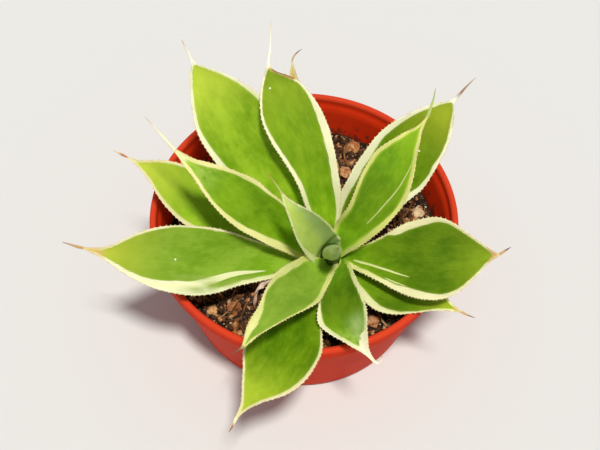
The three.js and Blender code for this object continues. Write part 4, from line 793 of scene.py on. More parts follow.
    full = lambda a: np.concatenate([np.broadcast_to(a, (len(M), cols)), np.zeros((ns, cols))]).ravel()
    at = {}
    dl, dr = half * (1 + V), half * (1 - V)
    at["lx"] = np.concatenate([half * V, np.broadcast_to(RING_V * .6, (ns, cols))]).ravel()
    at["lu"] = np.concatenate([np.broadcast_to(su[:, None], (len(M), cols)),
                               np.broadcast_to((length + xs * ss[-1])[:, None], (ns, cols))]).ravel()
    at["u"] = np.concatenate([np.broadcast_to(u[:, None], (len(M), cols)), np.ones((ns, cols))]).ravel()
    at["dL"], at["dR"] = full(dl), full(dr)
    at["aL"] = np.concatenate([dl - ramp(look["L"], u)[:, None], -np.ones((ns, cols))]).ravel()
    at["aR"] = np.concatenate([dr - ramp(look["R"], u)[:, None], -np.ones((ns, cols))]).ravel()
    at["back"] = full((RING_TOP[None, :] < 0) * (av < .93) * np.ones_like(u)[:, None])
    at["spine"] = np.concatenate([np.zeros((len(M), cols)), np.broadcast_to(xs[:, None], (ns, cols))]).ravel()
    topf = (RING_TOP[None, :] > 0)
    z = np.zeros_like(u)[:, None] * V
    patch, dot, callus, specks = z.copy(), z.copy(), z.copy(), z.copy()
    for pu, pv, su_, sv in look.get("patch", []):
        patch = np.maximum(patch, np.exp(-((u[:, None] - pu) / su_) ** 2 - ((V - pv) / sv) ** 2))
    for side, a, b_, wd in look.get("callus", []):
        d = dl if side == "L" else dr
        callus = np.maximum(callus, smoothstep(wd, wd * .4, d) * (smoothstep(a - .01, a, u) * smoothstep(b_ + .006, b_, u))[:, None])
    if look.get("specks"):
        pu, pv, su_, sv = look["specks"]
        specks = topf * np.exp(-((u[:, None] - pu) / su_) ** 2 - ((V - pv) / sv) ** 2)
    tu = u[:, None] + look.get("tanv", 0) * np.clip(av - .35, 0, 1)
    tan = z + (smoothstep(1 - 1.6 * look["tan"], 1 - .5 * look["tan"], tu) if look.get("tan") else 0)
    wash = z.copy()
    for pu, pv, su_, sv, am in look.get("wash", []):
        wash = np.maximum(wash, am * np.exp(-((u[:, None] - pu) / su_) ** 2 - ((V - pv) / sv) ** 2))
    at["wash"] = full(wash)
    at["patch"], at["callus"], at["specks"], at["tan"] = full(patch), full(callus), full(specks), full(tan)
    at["tan"] = np.where(np.isclose(at["spine"], 0), at["tan"], 0)
    for i, st in enumerate(look.get("streaks", [])):
        st = np.array(sorted(st), float)
        us_ = np.linspace(0, 1, 200)
        vc, hw = np.interp(us_, st[:, 0], st[:, 1]), np.interp(us_, st[:, 0], st[:, 2], left=-.4, right=-.4)
        vc = soften(vc[:, None], 11)[:, 0]
        hw = soften(hw[:, None], 4)[:, 0]
        so = (V - np.interp(u, us_, vc)[:, None]) * half
        at[f"so{i}"] = full(so)
        at[f"sw{i}"] = np.concatenate([np.broadcast_to(np.interp(u, us_, hw)[:, None], (len(M), cols)), -np.ones((ns, cols))]).ravel()
    at["tooth"] = np.zeros(len(verts))
    at["dot"] = np.zeros(len(verts))

    # teeth
    extra_v, extra_f, src, tv = [], [], [], []
    base_n = len(verts)
    ang = np.linspace(0, 2 * math.pi, 6, endpoint=False)
    for side in (-1, 1):
        col = 0 if side < 0 else NC - 1
        for p in teeth[side]:
            i = min(len(su) - 1, int(np.searchsorted(su, p)))
            c = P[i, col]
            o = across[i] * side
            t = T[i]
            n_ = up[i]
            size = .60 * look["tooth"] * (.65 + .6 * r.random()) * (.7 + .3 * smoothstep(0, 10, length - p)) * min(1, .5 + w[i] / 24)
            lean = (.18 + .25 * r.random()) * (1 if r.random() < .7 else -1)
            b0 = len(extra_v)
            for hgt, sc, lv in ((-.15, 1.0, .0), (.35, .55, .35), (.72, .27, .75)):
                for a in ang:
                    extra_v.append(c + o * size * hgt + t * (size * (.62 * sc * math.cos(a) + lean * max(0, hgt)))
                                   + n_ * (.30 * sc * math.sin(a) + .12 * size * max(0, hgt)))
                    src.append(i * cols + col); tv.append(lv)
            extra_v.append(c + o * size * 1.0 + t * size * lean * 1.25 + n_ * .18 * size)
            src.append(i * cols + col); tv.append(1.0)
            B = base_n + b0
            turn = np.cross(t, n_) @ o > 0
            for k in range(2):
                for a in range(6):
                    f = [B + k * 6 + a, B + k * 6 + (a + 1) % 6, B + k * 6 + 6 + (a + 1) % 6, B + k * 6 + 6 + a]
                    extra_f.append(tuple(f if turn else f[::-1]))
            for a in range(6):
                f = [B + 12 + a, B + 12 + (a + 1) % 6, B + 18]
                extra_f.append(tuple(f if turn else f[::-1]))
            f = [B + a for a in range(6)]
            extra_f.append(tuple(f[::-1] if turn else f))
    # small raised pale dots
    for du, dv in look.get("dots", []):
        i = int(np.argmin(np.abs(u[nx:] - du))) + nx
        lat_i = dv * w[i] / 2
        hh = np.interp(dv, COLS, top[i][:NC])
        c = M[i] + across[i] * lat_i + up[i] * hh
        slope = np.gradient(top[i][:NC], COLS * w[i] / 2)
        tilt = np.interp(dv, COLS, slope)
        nn = unit(up[i] - across[i] * tilt)
        aa = unit(across[i] + up[i] * tilt)
        b0 = len(extra_v)
        for rr, zz in ((.52, -.25), (.48, .06), (.30, .18)):
            for a in np.linspace(0, 2 * math.pi, 12, endpoint=False):
                extra_v.append(c + aa * rr * math.cos(a) + np.cross(nn, aa) * rr * .9 * math.sin(a) + nn * zz)
                src.append(i * cols + NC // 2); tv.append(-1)
        extra_v.append(c + nn * .22); src.append(i * cols + NC // 2); tv.append(-1)
        B = base_n + b0
        for k in range(2):
            for a in range(12):
                extra_f.append((B + k * 12 + a, B + k * 12 + (a + 1) % 12, B + k * 12 + 12 + (a + 1) % 12, B + k * 12 + 12 + a))
        for a in range(12):
            extra_f.append((B + 24 + a, B + 24 + (a + 1) % 12, B + 36))
        extra_f.append(tuple(B + a for a in range(12))[::-1])
    if extra_v:
        src = np.array(src)
        tv = np.array(tv, float)
        verts = np.vstack([verts, np.array(extra_v)])
        for k in list(at):
            at[k] = np.concatenate([at[k], at[k][src]])
        at["tooth"][base_n:] = np.clip(tv, 0, 1) * .999 + .001 * (tv >= 0)
        at["tooth"][base_n:] = np.where(tv >= 0, np.maximum(at["tooth"][base_n:], .0), 0)
        at["dot"][base_n:] = (tv < 0)
        faces += extra_f
    mat = leaf_material(name, look, seed)
    slot = "leaf_young" if seed <= 4 else "leaf"
    return make("fine_" + name, verts, faces, mat, at, True, slot, (name,))


for i, (name, channel, edges, spine) in enumerate(LEAVES):
    build_leaf(name, channel, edges, spine, i + 1)


# ------------------------------------------------------------------- spear
def build_spear():
    n = Nodes("skin_spear")
    lx, lu = n.attr("lx"), n.attr("lu")
    mott = n.noise(n.vec(n.math("MULTIPLY", lx, .30), n.math("MULTIPLY", lu, .16), 4.0), 1.0, 3.0, .6)
    fine = n.noise(n.vec(n.math("MULTIPLY", lx, 2.4), n.math("MULTIPLY", lu, .10), 7.0), 1.0, 2.0, .55)
    col = n.mix(n.step(.3, .7, mott), srgb(148, 168, 84), srgb(182, 200, 120))
    col = n.mix(n.math("MULTIPLY", n.step(.5, .7, fine), .2), col, srgb(164, 182, 128))
    col = n.mix(n.math("MULTIPLY", n.step(.8, .1, n.attr("edge")), .55), col, srgb(176, 184, 120))
    col = n.mix(n.step(.92, 1.0, n.attr("u")), col, srgb(140, 160, 80))
    # painted shade: the lower part of the spear darkened, standing in for the crease round its foot
    col = n.mix(n.step(.30, .05, n.attr("u")), col, srgb(84, 112, 34))
    nor = n.bump(n.math("ADD", fine, mott), .3, .0008)
    mat = n.done(col, n.math("ADD", n.math("MULTIPLY", mott, .15), .42), nor, Sheen_Weight=.08)
    e1 = np.array([1.0, 0, 0])
    e2 = np.cross(AXIS, e1)
    nh, nt = 120, 84
    h = np.linspace(STEM_OUT - 3, STEM_OUT + SPEAR_LEN + 1.2, nh)
    prof = [[STEM_OUT - 3, 3.0], [STEM_OUT, 3.2], [STEM_OUT + 12.5, 3.85], [STEM_OUT + 25, 3.8], [STEM_OUT + 31, 3.5], [STEM_OUT + 37, 2.95],
            [STEM_OUT + 41.5, 2.2], [STEM_OUT + 45, 1.48], [STEM_OUT + 48, .85], [STEM_OUT + 50, .42], [STEM_OUT + 51.2, .12]]
    R = 1.01 * soften(ramp(prof, h)[:, None], 3)[:, 0]
    verts, at = [], {k: [] for k in ("lx", "lu", "u", "edge")}
    for i in range(nh):
        u = (h[i] - STEM_OUT) / SPEAR_LEN
        start = math.radians(205) + .9 * u
        for j in range(nt):
            th = 2 * math.pi * j / (nt - 1)
            # the free margin overlaps the roll beneath it
            roll = .80 + .20 * float(smoothstep(0, 2 * math.pi, th)) if j < nt - 1 else .985
            roll = 1.0 - .20 * (1 - th / (2 * math.pi)) if j < nt - 1 else .985
            r = R[i] * roll
            a = start + th * (.995)
            off = .25 * math.sin(h[i] / 9.0)
            late = float(smoothstep(.42, 1.02, u))
            aside = .35 * float(smoothstep(0, .3, u)) + 1.65 * late
            sag = 1.45 * float(smoothstep(0, .35, u)) - 1.15 * late
            p = CROWN + AXIS * h[i] + e1 * (1.13 * r * math.cos(a) + off * .3 + aside) + e2 * (.97 * r * math.sin(a) - sag)
            verts.append(p)
            at["lx"].append(r * th); at["lu"].append(h[i]); at["u"].append(max(0, min(1, u)))
            at["edge"].append((2 * math.pi - th) * r if j else 0.6)
    faces = [tuple(f) for f in grid_faces(nh, nt)]
    faces.append(tuple(range(nt)))
    faces.append(tuple((nh - 1) * nt + k for k in range(nt)))
    make("fine_central_spear", verts, faces, mat, at, True, "leaf_young", ("central_spear",))


build_spear()


# -------------------------------------------------------------------- stem
def build_stem():
    n = Nodes("stem_skin")
    p = n.pos()
    a = n.noise(n.scaled(p, 260, 260, 900), 1.0, 3.0, .6)
    b = n.noise(n.scaled(p, 900, 900, 900), 1.0, 2.0, .5)
    col = n.ramp(a, [(.25, srgb(150, 128, 84)), (.5, srgb(196, 196, 140)), (.8, srgb(222, 220, 176))])
    # the top of the stem in dark green: the green of the clasping leaf bases, darkened as painted shade in the crease
    # round the spear
    col = n.mix(n.step(6.0, 15.0, n.attr("h")), col, srgb(66, 96, 18))
    mat = n.done(col, .62, n.bump(b, .4, .0006))
    prof = np.array([[0, -14], [6.5, -14], [9, -10], [9.2, 2], [8, 10], [6.2, 18], [4.6, 25], [0, 25]], float)
    e1 = np.array([1.0, 0, 0]); e2 = np.cross(AXIS, e1)
    hs = np.linspace(-14, 25, 90)
    R = np.interp(hs, prof[1:-1, 1], prof[1:-1, 0])
    R = soften(R[:, None], 2)[:, 0]
    verts, nt, at = [], 64, []
    for h, r in zip(hs, R):
        r -= 1.3 * float(smoothstep(12, 23, h))
        ridge = .25 * abs(math.sin(h * 1.15)) ** 3
        for j in range(nt):
            t = 2 * math.pi * j / nt
            rr = r - .25 + ridge * (1 + .3 * math.sin(3 * t + h))
            verts.append(CROWN + AXIS * h + e1 * rr * math.cos(t) + e2 * rr * math.sin(t))
            at.append(h)
    faces = [tuple(f) for f in grid_faces(len(hs), nt)]
    faces += [tuple(range(nt)), tuple((len(hs) - 1) * nt + k for k in range(nt))]
    make("fine_stem", verts, faces, mat, {"h": at}, True, "stem", ("stem",))


build_stem()


# --------------------------------------------------------------------- pot
def build_pot():
    n = Nodes("pot_plastic")
    p = n.pos()
    cloud = n.noise(n.scaled(p, 34, 34, 34), 1.0, 3.0, .55)
    scuff = n.noise(n.scaled(p, 160, 160, 700), 1.0, 4.0, .65)
    grain = n.noise(n.scaled(p, 1500, 1500, 1500), 1.0, 1.0, .5)
    col = n.mix(n.step(.3, .7, cloud), srgb(*POT_DARK), srgb(*POT_LIGHT))
    col = n.mix(n.math("MULTIPLY", n.step(.62, .78, scuff), .28), col, srgb(214, 128, 98))
    # soil splashed on the inner wall, thicker low down
    low = n.math("MULTIPLY", n.attr("inner"), n.step(64.0, 50.0, n.attr("z")))
    dirt = n.noise(n.scaled(p, 240, 240, 240), 1.0, 4.0, .7)
    k = n.step(.50, .64, n.math("ADD", dirt, n.math("MULTIPLY", n.math("SUBTRACT", low, .75), .22)))
    k = n.math("MULTIPLY", k, n.step(.02, .5, low))
    col = n.mix(n.math("MULTIPLY", k, .75), col, srgb(70, 44, 30))
    rough = n.math("ADD", n.math("MULTIPLY", scuff, .20), .42)
    rough = n.math("ADD", rough, n.math("MULTIPLY", k, .4))
    h = n.math("ADD", n.math("MULTIPLY", grain, .3), n.math("MULTIPLY", cloud, .4))
    # painted highlight: the top of the rolled rim lightened towards a paler orange-red
    col = n.mix(n.math("MULTIPLY", n.step(69.3, 70.8, n.attr("z")), .5), col, srgb(214, 74, 46))
    mat = n.done(col, rough, n.bump(h, .18, .0005), Specular_IOR_Level=.03)

    zl = POT_H - RIM_DROP
    wall = lambda z: BASE_R + (RIM_R - 1.9 - BASE_R) * z / zl
    def arc(cx, cz, rx, rz, a0, a1, k):
        return [(cx + rx * math.cos(t), cz + rz * math.sin(t)) for t in np.radians(np.linspace(a0, a1, k))]
    prof = [(0.0, .35), (30, .35), (BASE_R - 9, .35), (BASE_R - 8.2, .0), (BASE_R - 2.6, .0)]
    prof += arc(BASE_R - 2.2, 2.3, 2.2, 2.3, -90, -4, 8)
    prof += [(wall(z), z) for z in np.linspace(3, zl - .9, 14)]
    prof += [(wall(zl) + .1, zl - .35), (wall(zl) + .55, zl)]
    prof += arc(RIM_R - .75, zl + .75, .75, .75, -90, 0, 6)
    prof += [(RIM_R - .02, z) for z in (zl + 2, POT_H - 3.0)]
    roll = 3.4
    prof += arc(RIM_R - roll / 2, POT_H - 2.15, roll / 2, 2.15, 8, 172, 22)
    # a shallow step inside, just below the roll
    prof += [(RIM_R - roll - .02, POT_H - 2.6), (RIM_R - roll - .10, POT_H - 4.0), (RIM_R - roll - .5, POT_H - 4.7),
             (RIM_R - roll - .72, POT_H - 5.2)]
    inner_top = POT_H - 5.6
    zi = np.linspace(inner_top, POT_FLOOR + 2.2, 16)
    prof += [(float(pot_inner(z)) - .0, z) for z in zi]
    prof += arc(BASE_R - 1.7 - POT_WALL, POT_FLOOR + 1.6, 1.6, 1.6, 0, -90, 6)[1:]
    prof += [(30.5, POT_FLOOR), (0.0, POT_FLOOR)]
    prof = np.array(prof, float)
    seg = 224
    verts, at = [], {"z": [], "inner": []}
    idx = []
    top_i = int(np.argmax(prof[:, 1]))
    for i, (r, z) in enumerate(prof):
        row = []
        for j in range(seg if r > 1e-6 else 1):
            t = 2 * math.pi * j / seg
            rr = r
            if i > 12 and r > 0:      # a moulding is never quite true
                rr = r + .05 * math.sin(3 * t + .6) * (z / POT_H)
            row.append(len(verts))
            verts.append((rr * math.cos(t), rr * math.sin(t), z))
            at["z"].append(z); at["inner"].append(1.0 if i > top_i else 0.0)
        idx.append(row)
    faces = []
    for a, b in zip(idx[:-1], idx[1:]):
        for j in range(seg):
            k = (j + 1) % seg
            q = [a[j % len(a)], a[k % len(a)], b[k % len(b)], b[j % len(b)]]
            q = [v for i_, v in enumerate(q) if v not in q[:i_]]
            faces.append(tuple(q))
    pot = make("fine_pot", verts, faces, mat, at, True, "pot", ("pot",))
    # drainage holes
    import bmesh
    cut = bpy.data.meshes.new("cut")
    bm = bmesh.new()
    for i in range(DRAIN_N):
        a = (i + .5) * 2 * math.pi / DRAIN_N
        bmesh.ops.create_cone(bm, cap_ends=True, segments=40, radius1=DRAIN_R * MM, radius2=DRAIN_R * MM, depth=12 * MM,
                              matrix=Matrix.Translation((DRAIN_RING * math.cos(a) * MM, DRAIN_RING * math.sin(a) * MM, 1.1 * MM))
                              @ Matrix.Rotation(.05, 4, "Z"))    # turned off the pot's own edge lines
    bm.to_mesh(cut)
    bm.free()
    cutter = bpy.data.objects.new("cut", cut)
    bpy.context.scene.collection.objects.link(cutter)
    mod = pot.modifiers.new("holes", "BOOLEAN")
    mod.operation, mod.object, mod.solver = "DIFFERENCE", cutter, "EXACT"
    dg = bpy.context.evaluated_depsgraph_get()
    new = bpy.data.meshes.new_from_object(pot.evaluated_get(dg))
    pot.modifiers.clear()
    pot.data = new
    bpy.data.objects.remove(cutter)


POT_DARK, POT_LIGHT = (193, 43, 14), (203, 51, 17)
build_pot()


# -------------------------------------------------------------------- soil
def build_soil():
    n = Nodes("soil_mix")
    p = n.pos()
    a = n.noise(n.scaled(p, 330, 330, 330), 1.0, 5.0, .7)
    b = n.noise(n.scaled(p, 1300, 1300, 1300), 1.0, 3.0, .6)
    v = n.voronoi(n.scaled(p, 640, 640, 640), 1.0)
    col = n.ramp(a, [(.30, srgb(20, 13, 9)), (.5, srgb(44, 29, 20)), (.68, srgb(84, 58, 40)), (.85, srgb(130, 96, 68))])
    col = n.mix(n.math("MULTIPLY", n.step(.22, .10, v), n.step(.5, .62, b)), col, srgb(176, 138, 104))
    h = n.math("ADD", a, n.math("MULTIPLY", b, .5))
    mat = n.done(col, .95, n.bump(h, .9, .0016), Specular_IOR_Level=.2)
    seg, nr = 240, 96
    wall_r = float(pot_inner(SOIL_TOP)) - .15
    verts, rows = [], []
    rr = wall_r * np.sqrt(np.linspace(0.00003, 1, nr))
    g = np.random.default_rng(31)
    for r in rr:
        row = []
        for j in range(seg):
            t = 2 * math.pi * j / seg
            x, y = r * math.cos(t), r * math.sin(t)
            z = float(soil_z(x, y))
            z += .28 * math.sin(x * 1.3 + 2 * math.sin(y * .9)) * math.cos(y * 1.5 + 1.7 * math.sin(x * .7)) + .16 * g.standard_normal()
            if r > wall_r - .4:
                z -= .3
            row.append(len(verts))
            verts.append((x, y, z))
        rows.append(row)
    top_c = len(verts)
    verts.append((0, 0, float(soil_z(0, 0))))
    zb = POT_FLOOR + .3
    for z in np.linspace(SOIL_TOP - 6, zb + 1.5, 10):
        row = []
        for j in range(seg):
            t = 2 * math.pi * j / seg
            r = float(pot_inner(z)) - .15
            row.append(len(verts)); verts.append((r * math.cos(t), r * math.sin(t), z))
        rows.append(row)
    for f in (.985, .6, .3):
        row = []
        for j in range(seg):
            t = 2 * math.pi * j / seg
            r = (float(pot_inner(zb)) - .2) * f
            row.append(len(verts)); verts.append((r * math.cos(t), r * math.sin(t), zb))
        rows.append(row)
    bot_c = len(verts)
    verts.append((0, 0, zb))
    faces = []
    for a_, b_ in zip(rows[:-1], rows[1:]):
        for j in range(seg):
            k = (j + 1) % seg
            faces.append((a_[j], a_[k], b_[k], b_[j]))
    for j in range(seg):
        k = (j + 1) % seg
        faces.append((top_c, rows[0][k], rows[0][j]))
        faces.append((bot_c, rows[-1][j], rows[-1][k]))
    make("fine_soil", verts, faces, mat, None, True, "soil", ("soil",))


build_soil()


def ico(sub):
    import bmesh
    bm = bmesh.new()
    bmesh.ops.create_icosphere(bm, subdivisions=sub, radius=1.0)
    v = np.array([q.co[:] for q in bm.verts])
    f = np.array([[q.index for q in p.verts] for p in bm.faces])
    bm.free()
    return v, f


def turn_matrix(g):
    q = g.standard_normal(4)
    q /= np.linalg.norm(q)
    w, x, y, z = q
    return np.array([[1 - 2 * (y * y + z * z), 2 * (x * y - z * w), 2 * (x * z + y * w)],
                     [2 * (x * y + z * w), 1 - 2 * (x * x + z * z), 2 * (y * z - x * w)],
                     [2 * (x * z - y * w), 2 * (y * z + x * w), 1 - 2 * (x * x + y * y)]])


def stone_material(name, stops, pale=.3, pits=.5):
    n = Nodes(name)
    p = n.pos()
    a = n.noise(n.scaled(p, 480, 480, 480), 1.0, 4.0, .65)
    b = n.noise(n.scaled(p, 1700, 1700, 1700), 1.0, 2.0, .6)
    v = n.voronoi(n.scaled(p, 900, 900, 900), 1.0)
    col = n.ramp(n.attr("tone"), stops)
    # pale flecks on the high points of the bump, partly the stone's own colour and partly painted highlight; darker in
    # its hollows, partly colour and partly painted shade
    col = n.mix(n.math("MULTIPLY", n.step(.50, .62, a), pale), col, srgb(250, 226, 182))
    col = n.mix(n.math("MULTIPLY", n.step(.48, .34, a), .70), col, srgb(110, 56, 24))
    col = n.mix(n.math("MULTIPLY", n.step(.16, .06, v), pits), col, srgb(60, 36, 24))
    h = n.math("ADD", n.math("MULTIPLY", a, 1.2), n.math("MULTIPLY", b, .5))
    h = n.math("ADD", h, n.math("MULTIPLY", n.step(.08, .26, v), .5))
    return n.done(col, .72, n.bump(h, .9, .0014), Specular_IOR_Level=.4)


TAN_STOPS = [(0.0, srgb(170, 98, 46)), (.25, srgb(208, 138, 74)), (.45, srgb(228, 172, 112)), (.6, srgb(190, 112, 60)), (.78, srgb(216, 158, 100)), (.9, srgb(240, 210, 164)), (1.0, srgb(252, 240, 216))]
DARK_STOPS = [(0.0, srgb(22, 15, 11)), (.5, srgb(50, 32, 22)), (.8, srgb(92, 60, 40)), (1.0, srgb(150, 104, 70))]


def loose_grit(name, count, sub, lo, hi, stops, seed, bury, power=1.7, flatten=.8):
    g = np.random.default_rng(seed)
    v0, f0 = ico(sub)
    V, F, tone = [], [], []
    rmax = float(pot_inner(SOIL_TOP)) - .9
    for k in range(count):
        size = lo + (hi - lo) * g.random() ** power
        rad = (rmax - size) * math.sqrt(g.random())
        t = g.random() * 2 * math.pi
        x, y = rad * math.cos(t), rad * math.sin(t)
        s = size * np.array([1, .72 + .35 * g.random(), (.5 + .45 * g.random()) * flatten])
        m = turn_matrix(g)
        lump = 1 + .13 * np.sin(v0 @ (g.standard_normal(3) * 2.0) + g.random() * 6) + .10 * np.sin(v0 @ (g.standard_normal(3) * 3.4)) \
            + .05 * g.standard_normal(len(v0))
        for _ in range(5):
            q = unit(g.standard_normal(3))
            dd = v0 @ q * lump
            lim = .52 + .26 * g.random()
            lump = np.where(dd > lim, lump * lim / np.maximum(dd, 1e-6), lump)
        p = (v0 * lump[:, None] * s) @ m.T
        p += np.array([x, y, float(soil_z(x, y)) + size * (bury + .35 * g.random())])
        F.append(f0 + len(V) * len(v0))
        V.append(p)
        tone.append(np.full(len(v0), g.random()))
    mat = stone_material("stone_" + name, stops)
    return make(name, np.vstack(V), np.vstack(F), mat, {"tone": np.concatenate(tone)}, False, "soil")


loose_grit("grit_pale", 760, 2, .8, 2.5, TAN_STOPS, 5, .05)
loose_grit("grit_small", 1900, 1, .35, 1.0, TAN_STOPS, 6, .05)
loose_grit("crumbs_dark", 1500, 1, .45, 1.9, DARK_STOPS, 7, -.05)


def bark_material(name, dark):
    n = Nodes(name)
    lx, ly = n.attr("lx"), n.attr("ly")
    f = n.noise(n.vec(n.math("MULTIPLY", lx, .35), n.math("MULTIPLY", ly, 3.4), n.math("MULTIPLY", n.attr("tone"), 40.0)), 1.0, 4.0, .65)
    g = n.noise(n.scaled(n.pos(), 1500, 1500, 1500), 1.0, 2.0, .6)
    col = n.ramp(f, [(.25, srgb(*dark)), (.46, srgb(112, 68, 38)), (.62, srgb(168, 114, 66)), (.8, srgb(222, 182, 132))])
    col = n.mix(n.math("MULTIPLY", n.step(.62, .40, n.attr("tone")), .72), col, srgb(40, 25, 17))
    col = n.mix(n.math("MULTIPLY", n.step(.82, .95, n.attr("tone")), .55), col, srgb(226, 186, 130))
    h = n.math("ADD", f, n.math("MULTIPLY", g, .3))
    return n.done(col, .85, n.bump(h, .8, .0009), Specular_IOR_Level=.25)


BARK = bark_material("bark_skin", (34, 20, 14))


def flake(g, l, w, t, bend, nx=9, ny=5):
    """A splinter of bark: two uneven faces, ragged ends, a slight bend."""
    ph = g.random(6) * 6.28
    x = np.linspace(-1, 1, nx)
    pts, lx, ly = [], [], []
    prof = 1 - .55 * np.abs(x) ** 3 + .10 * np.sin(5 * x + ph[0])
    ring = [(-1, 0)] + [(v, 1) for v in np.linspace(-.8, .8, ny)] + [(1, 0)] + [(v, -1) for v in np.linspace(.8, -.8, ny)]
    for i, q in enumerate(x):
        for v, s in ring:
            yy = v * w / 2 * prof[i] + .08 * w * math.sin(4 * q + ph[1])
            zz = s * t / 2 * (1 - .35 * abs(v)) * (1 - .5 * abs(q) ** 4) + bend * (q * q - .4) + .12 * t * math.sin(7 * v + 5 * q + ph[2])
            xx = q * l / 2 + (.10 * l * math.sin(6 * v + ph[3]) if i in (0, nx - 1) else 0)
            pts.append((xx, yy, zz)); lx.append(xx); ly.append(yy)
    c = len(ring)
    f = [tuple(k) for k in grid_faces(nx, c)]
    f += [tuple(range(c)), tuple((nx - 1) * c + k for k in range(c))]
    return np.array(pts), f, lx, ly


def loose_bark(name, count, seed, lo, hi, wlo, whi, lift=.55):
    g = np.random.default_rng(seed)
    V, F, LX, LY, TN = [], [], [], [], []
    n0 = 0
    rmax = float(pot_inner(SOIL_TOP)) - 1.2
    for k in range(count):
        l = lo + (hi - lo) * g.random() ** 1.6
        w = wlo + (whi - wlo) * g.random()
        t = .5 + .7 * g.random()
        p, f, lx, ly = flake(g, l, w, t, (g.random() - .3) * l * .10, 7, 3)
        rad = (rmax - l / 2) * math.sqrt(g.random())
        a = g.random() * 2 * math.pi
        x, y = rad * math.cos(a), rad * math.sin(a)
        rot = Matrix.Rotation(g.random() * 6.283, 3, "Z") @ Matrix.Rotation((g.random() - .5) * .8, 3, "Y") @ Matrix.Rotation((g.random() - .5) * 1.2, 3, "X")
        p = p @ np.array(rot).T + np.array([x, y, float(soil_z(x, y)) + lift + .9 * g.random()])
        V.append(p); F += [tuple(i + n0 for i in q) for q in f]
        LX += lx; LY += ly; TN += [g.random()] * len(p)
        n0 += len(p)
    make(name, np.vstack(V), F, BARK, {"lx": LX, "ly": LY, "tone": TN}, True, "bark")


loose_bark("bark_bits", 760, 8, 2.8, 10.5, .8, 2.2)
loose_bark("fibres", 620, 9, 4.0, 12.0, .4, .9)
loose_bark("shards", 300, 12, 4.0, 11.0, 1.2, 2.8, 1.0)


def root_fibre(name, path, rad, tone):
    path = np.array(path, float)
    q = np.linspace(0, len(path) - 1, 60)
    p = spline(np.arange(len(path)), path, q)
    t = unit(np.gradient(p, axis=0))
    b = unit(np.cross(t, [0, 0, 1.0]))
    c = np.cross(b, t)
    ring, nt = [], 10
    for i in range(len(p)):
        r = rad * (1 - .55 * abs(2 * i / (len(p) - 1) - 1) ** 3) * (1 + .12 * math.sin(q[i] * 9))
        for j in range(nt):
            a_ = 2 * math.pi * j / nt
            ring.append(p[i] + b[i] * r * math.cos(a_) + c[i] * r * math.sin(a_))
    f = [tuple(k) for k in grid_faces(len(p), nt)]
    f += [tuple(range(nt)), tuple((len(p) - 1) * nt + k for k in range(nt))]
    at = {"lx": np.repeat(q * 3, nt), "ly": np.tile(np.arange(nt) * .1, len(p)), "tone": np.full(len(ring), tone)}
    make(name, np.array(ring), f, BARK, at, True, "bark")


root_fibre("root_fibre_a", [[23.2, 59.1, 50.6], [21.1, 55.1, 53.4], [20.1, 50.5, 54.2], [20.7, 46.0, 53.0], [22.6, 42.4, 50.2]], .62, .78)
root_fibre("root_fibre_b", [[-38.6, -49.2, 49.8], [-34.0, -45.4, 51.6], [-30.4, -39.4, 53.0], [-27.6, -34.6, 51.0]], .36, .52)
root_fibre("root_fibre_c", [[-33.0, -51.0, 49.8], [-28.6, -46.6, 51.6], [-26.6, -40.0, 51.8], [-23.0, -36.4, 49.9]], .34, .66)
root_fibre("root_fibre_d", [[44.0, 8.0, 49.8], [50.0, 12.0, 51.9], [54.4, 19.6, 51.6], [55.6, 26.0, 49.8]], .45, .62)

# -------------------------------------------------- larger stones and chips
PEBBLES = [
    [25.2, 54.6, 8.4, 7.4, 6.0, 20], [20.6, 39.2, 7.6, 7.0, 6.2, 75], [57.6, 14.5, 8.6, 7.2, 6.2, 10],
    [34.9, -46.6, 7.4, 7.8, 6.0, 40], [-42.8, -43.0, 7.0, 6.0, 4.6, 60], [-32.5, -40.2, 8.6, 6.4, 5.0, 15],
    [49.8, 21.5, 5.6, 5.0, 4.2, 30], [30.6, 46.2, 6.0, 5.2, 4.4, 0], [-20.5, 54.0, 7.8, 6.6, 5.4, 50],
    [-46.0, 33.0, 7.0, 7.6, 5.2, 25], [-58.0, 4.0, 6.4, 5.6, 4.4, 70], [-12.0, -56.0, 7.6, 6.2, 5.0, 35],
    [12.0, -59.5, 6.2, 6.8, 4.8, 5], [54.0, -24.5, 6.8, 6.0, 4.8, 45], [42.5, 37.0, 7.0, 6.2, 5.0, 80],
]
STONE = stone_material("stone_large", TAN_STOPS, .40, .35)
TONES = [.20, .72, .90, .55, .42, .04, .12, .80, .30, .68, .25, .50, .74, .58, .35]
v3, f3 = ico(4)
for i, (x, y, w, d, h, turn) in enumerate(PEBBLES):
    g = np.random.default_rng(70 + i)
    s = np.full(len(v3), .93)
    for fr, am in ((1.6, .17), (2.6, .12), (4.8, .07), (8.5, .035), (15, .02)):
        s += am * np.sin(v3 @ (g.standard_normal(3) * fr) + g.random() * 6) * np.cos(v3 @ (g.standard_normal(3) * fr) + g.random() * 6)
    # flats where the stone broke
    for _ in range(11):
        q = unit(g.standard_normal(3))
        dd = v3 @ q * s
        lim = .60 + .20 * g.random()
        s = np.where(dd > lim, s * (1 - .93 * (1 - lim / np.maximum(dd, 1e-6))), s)
    p = v3 * s[:, None] * np.array([w / 2, d / 2, h / 2])
    c, k = math.cos(math.radians(turn)), math.sin(math.radians(turn))
    p = p @ np.array([[c, k, 0], [-k, c, 0], [0, 0, 1]])
    p += np.array([x, y, float(soil_z(x, y)) + h * .22])
    name = f"pebble_{i + 1:02d}"
    make("fine_" + name, p, f3, STONE, {"tone": np.full(len(p), TONES[i])}, True, "pebble", (name,))

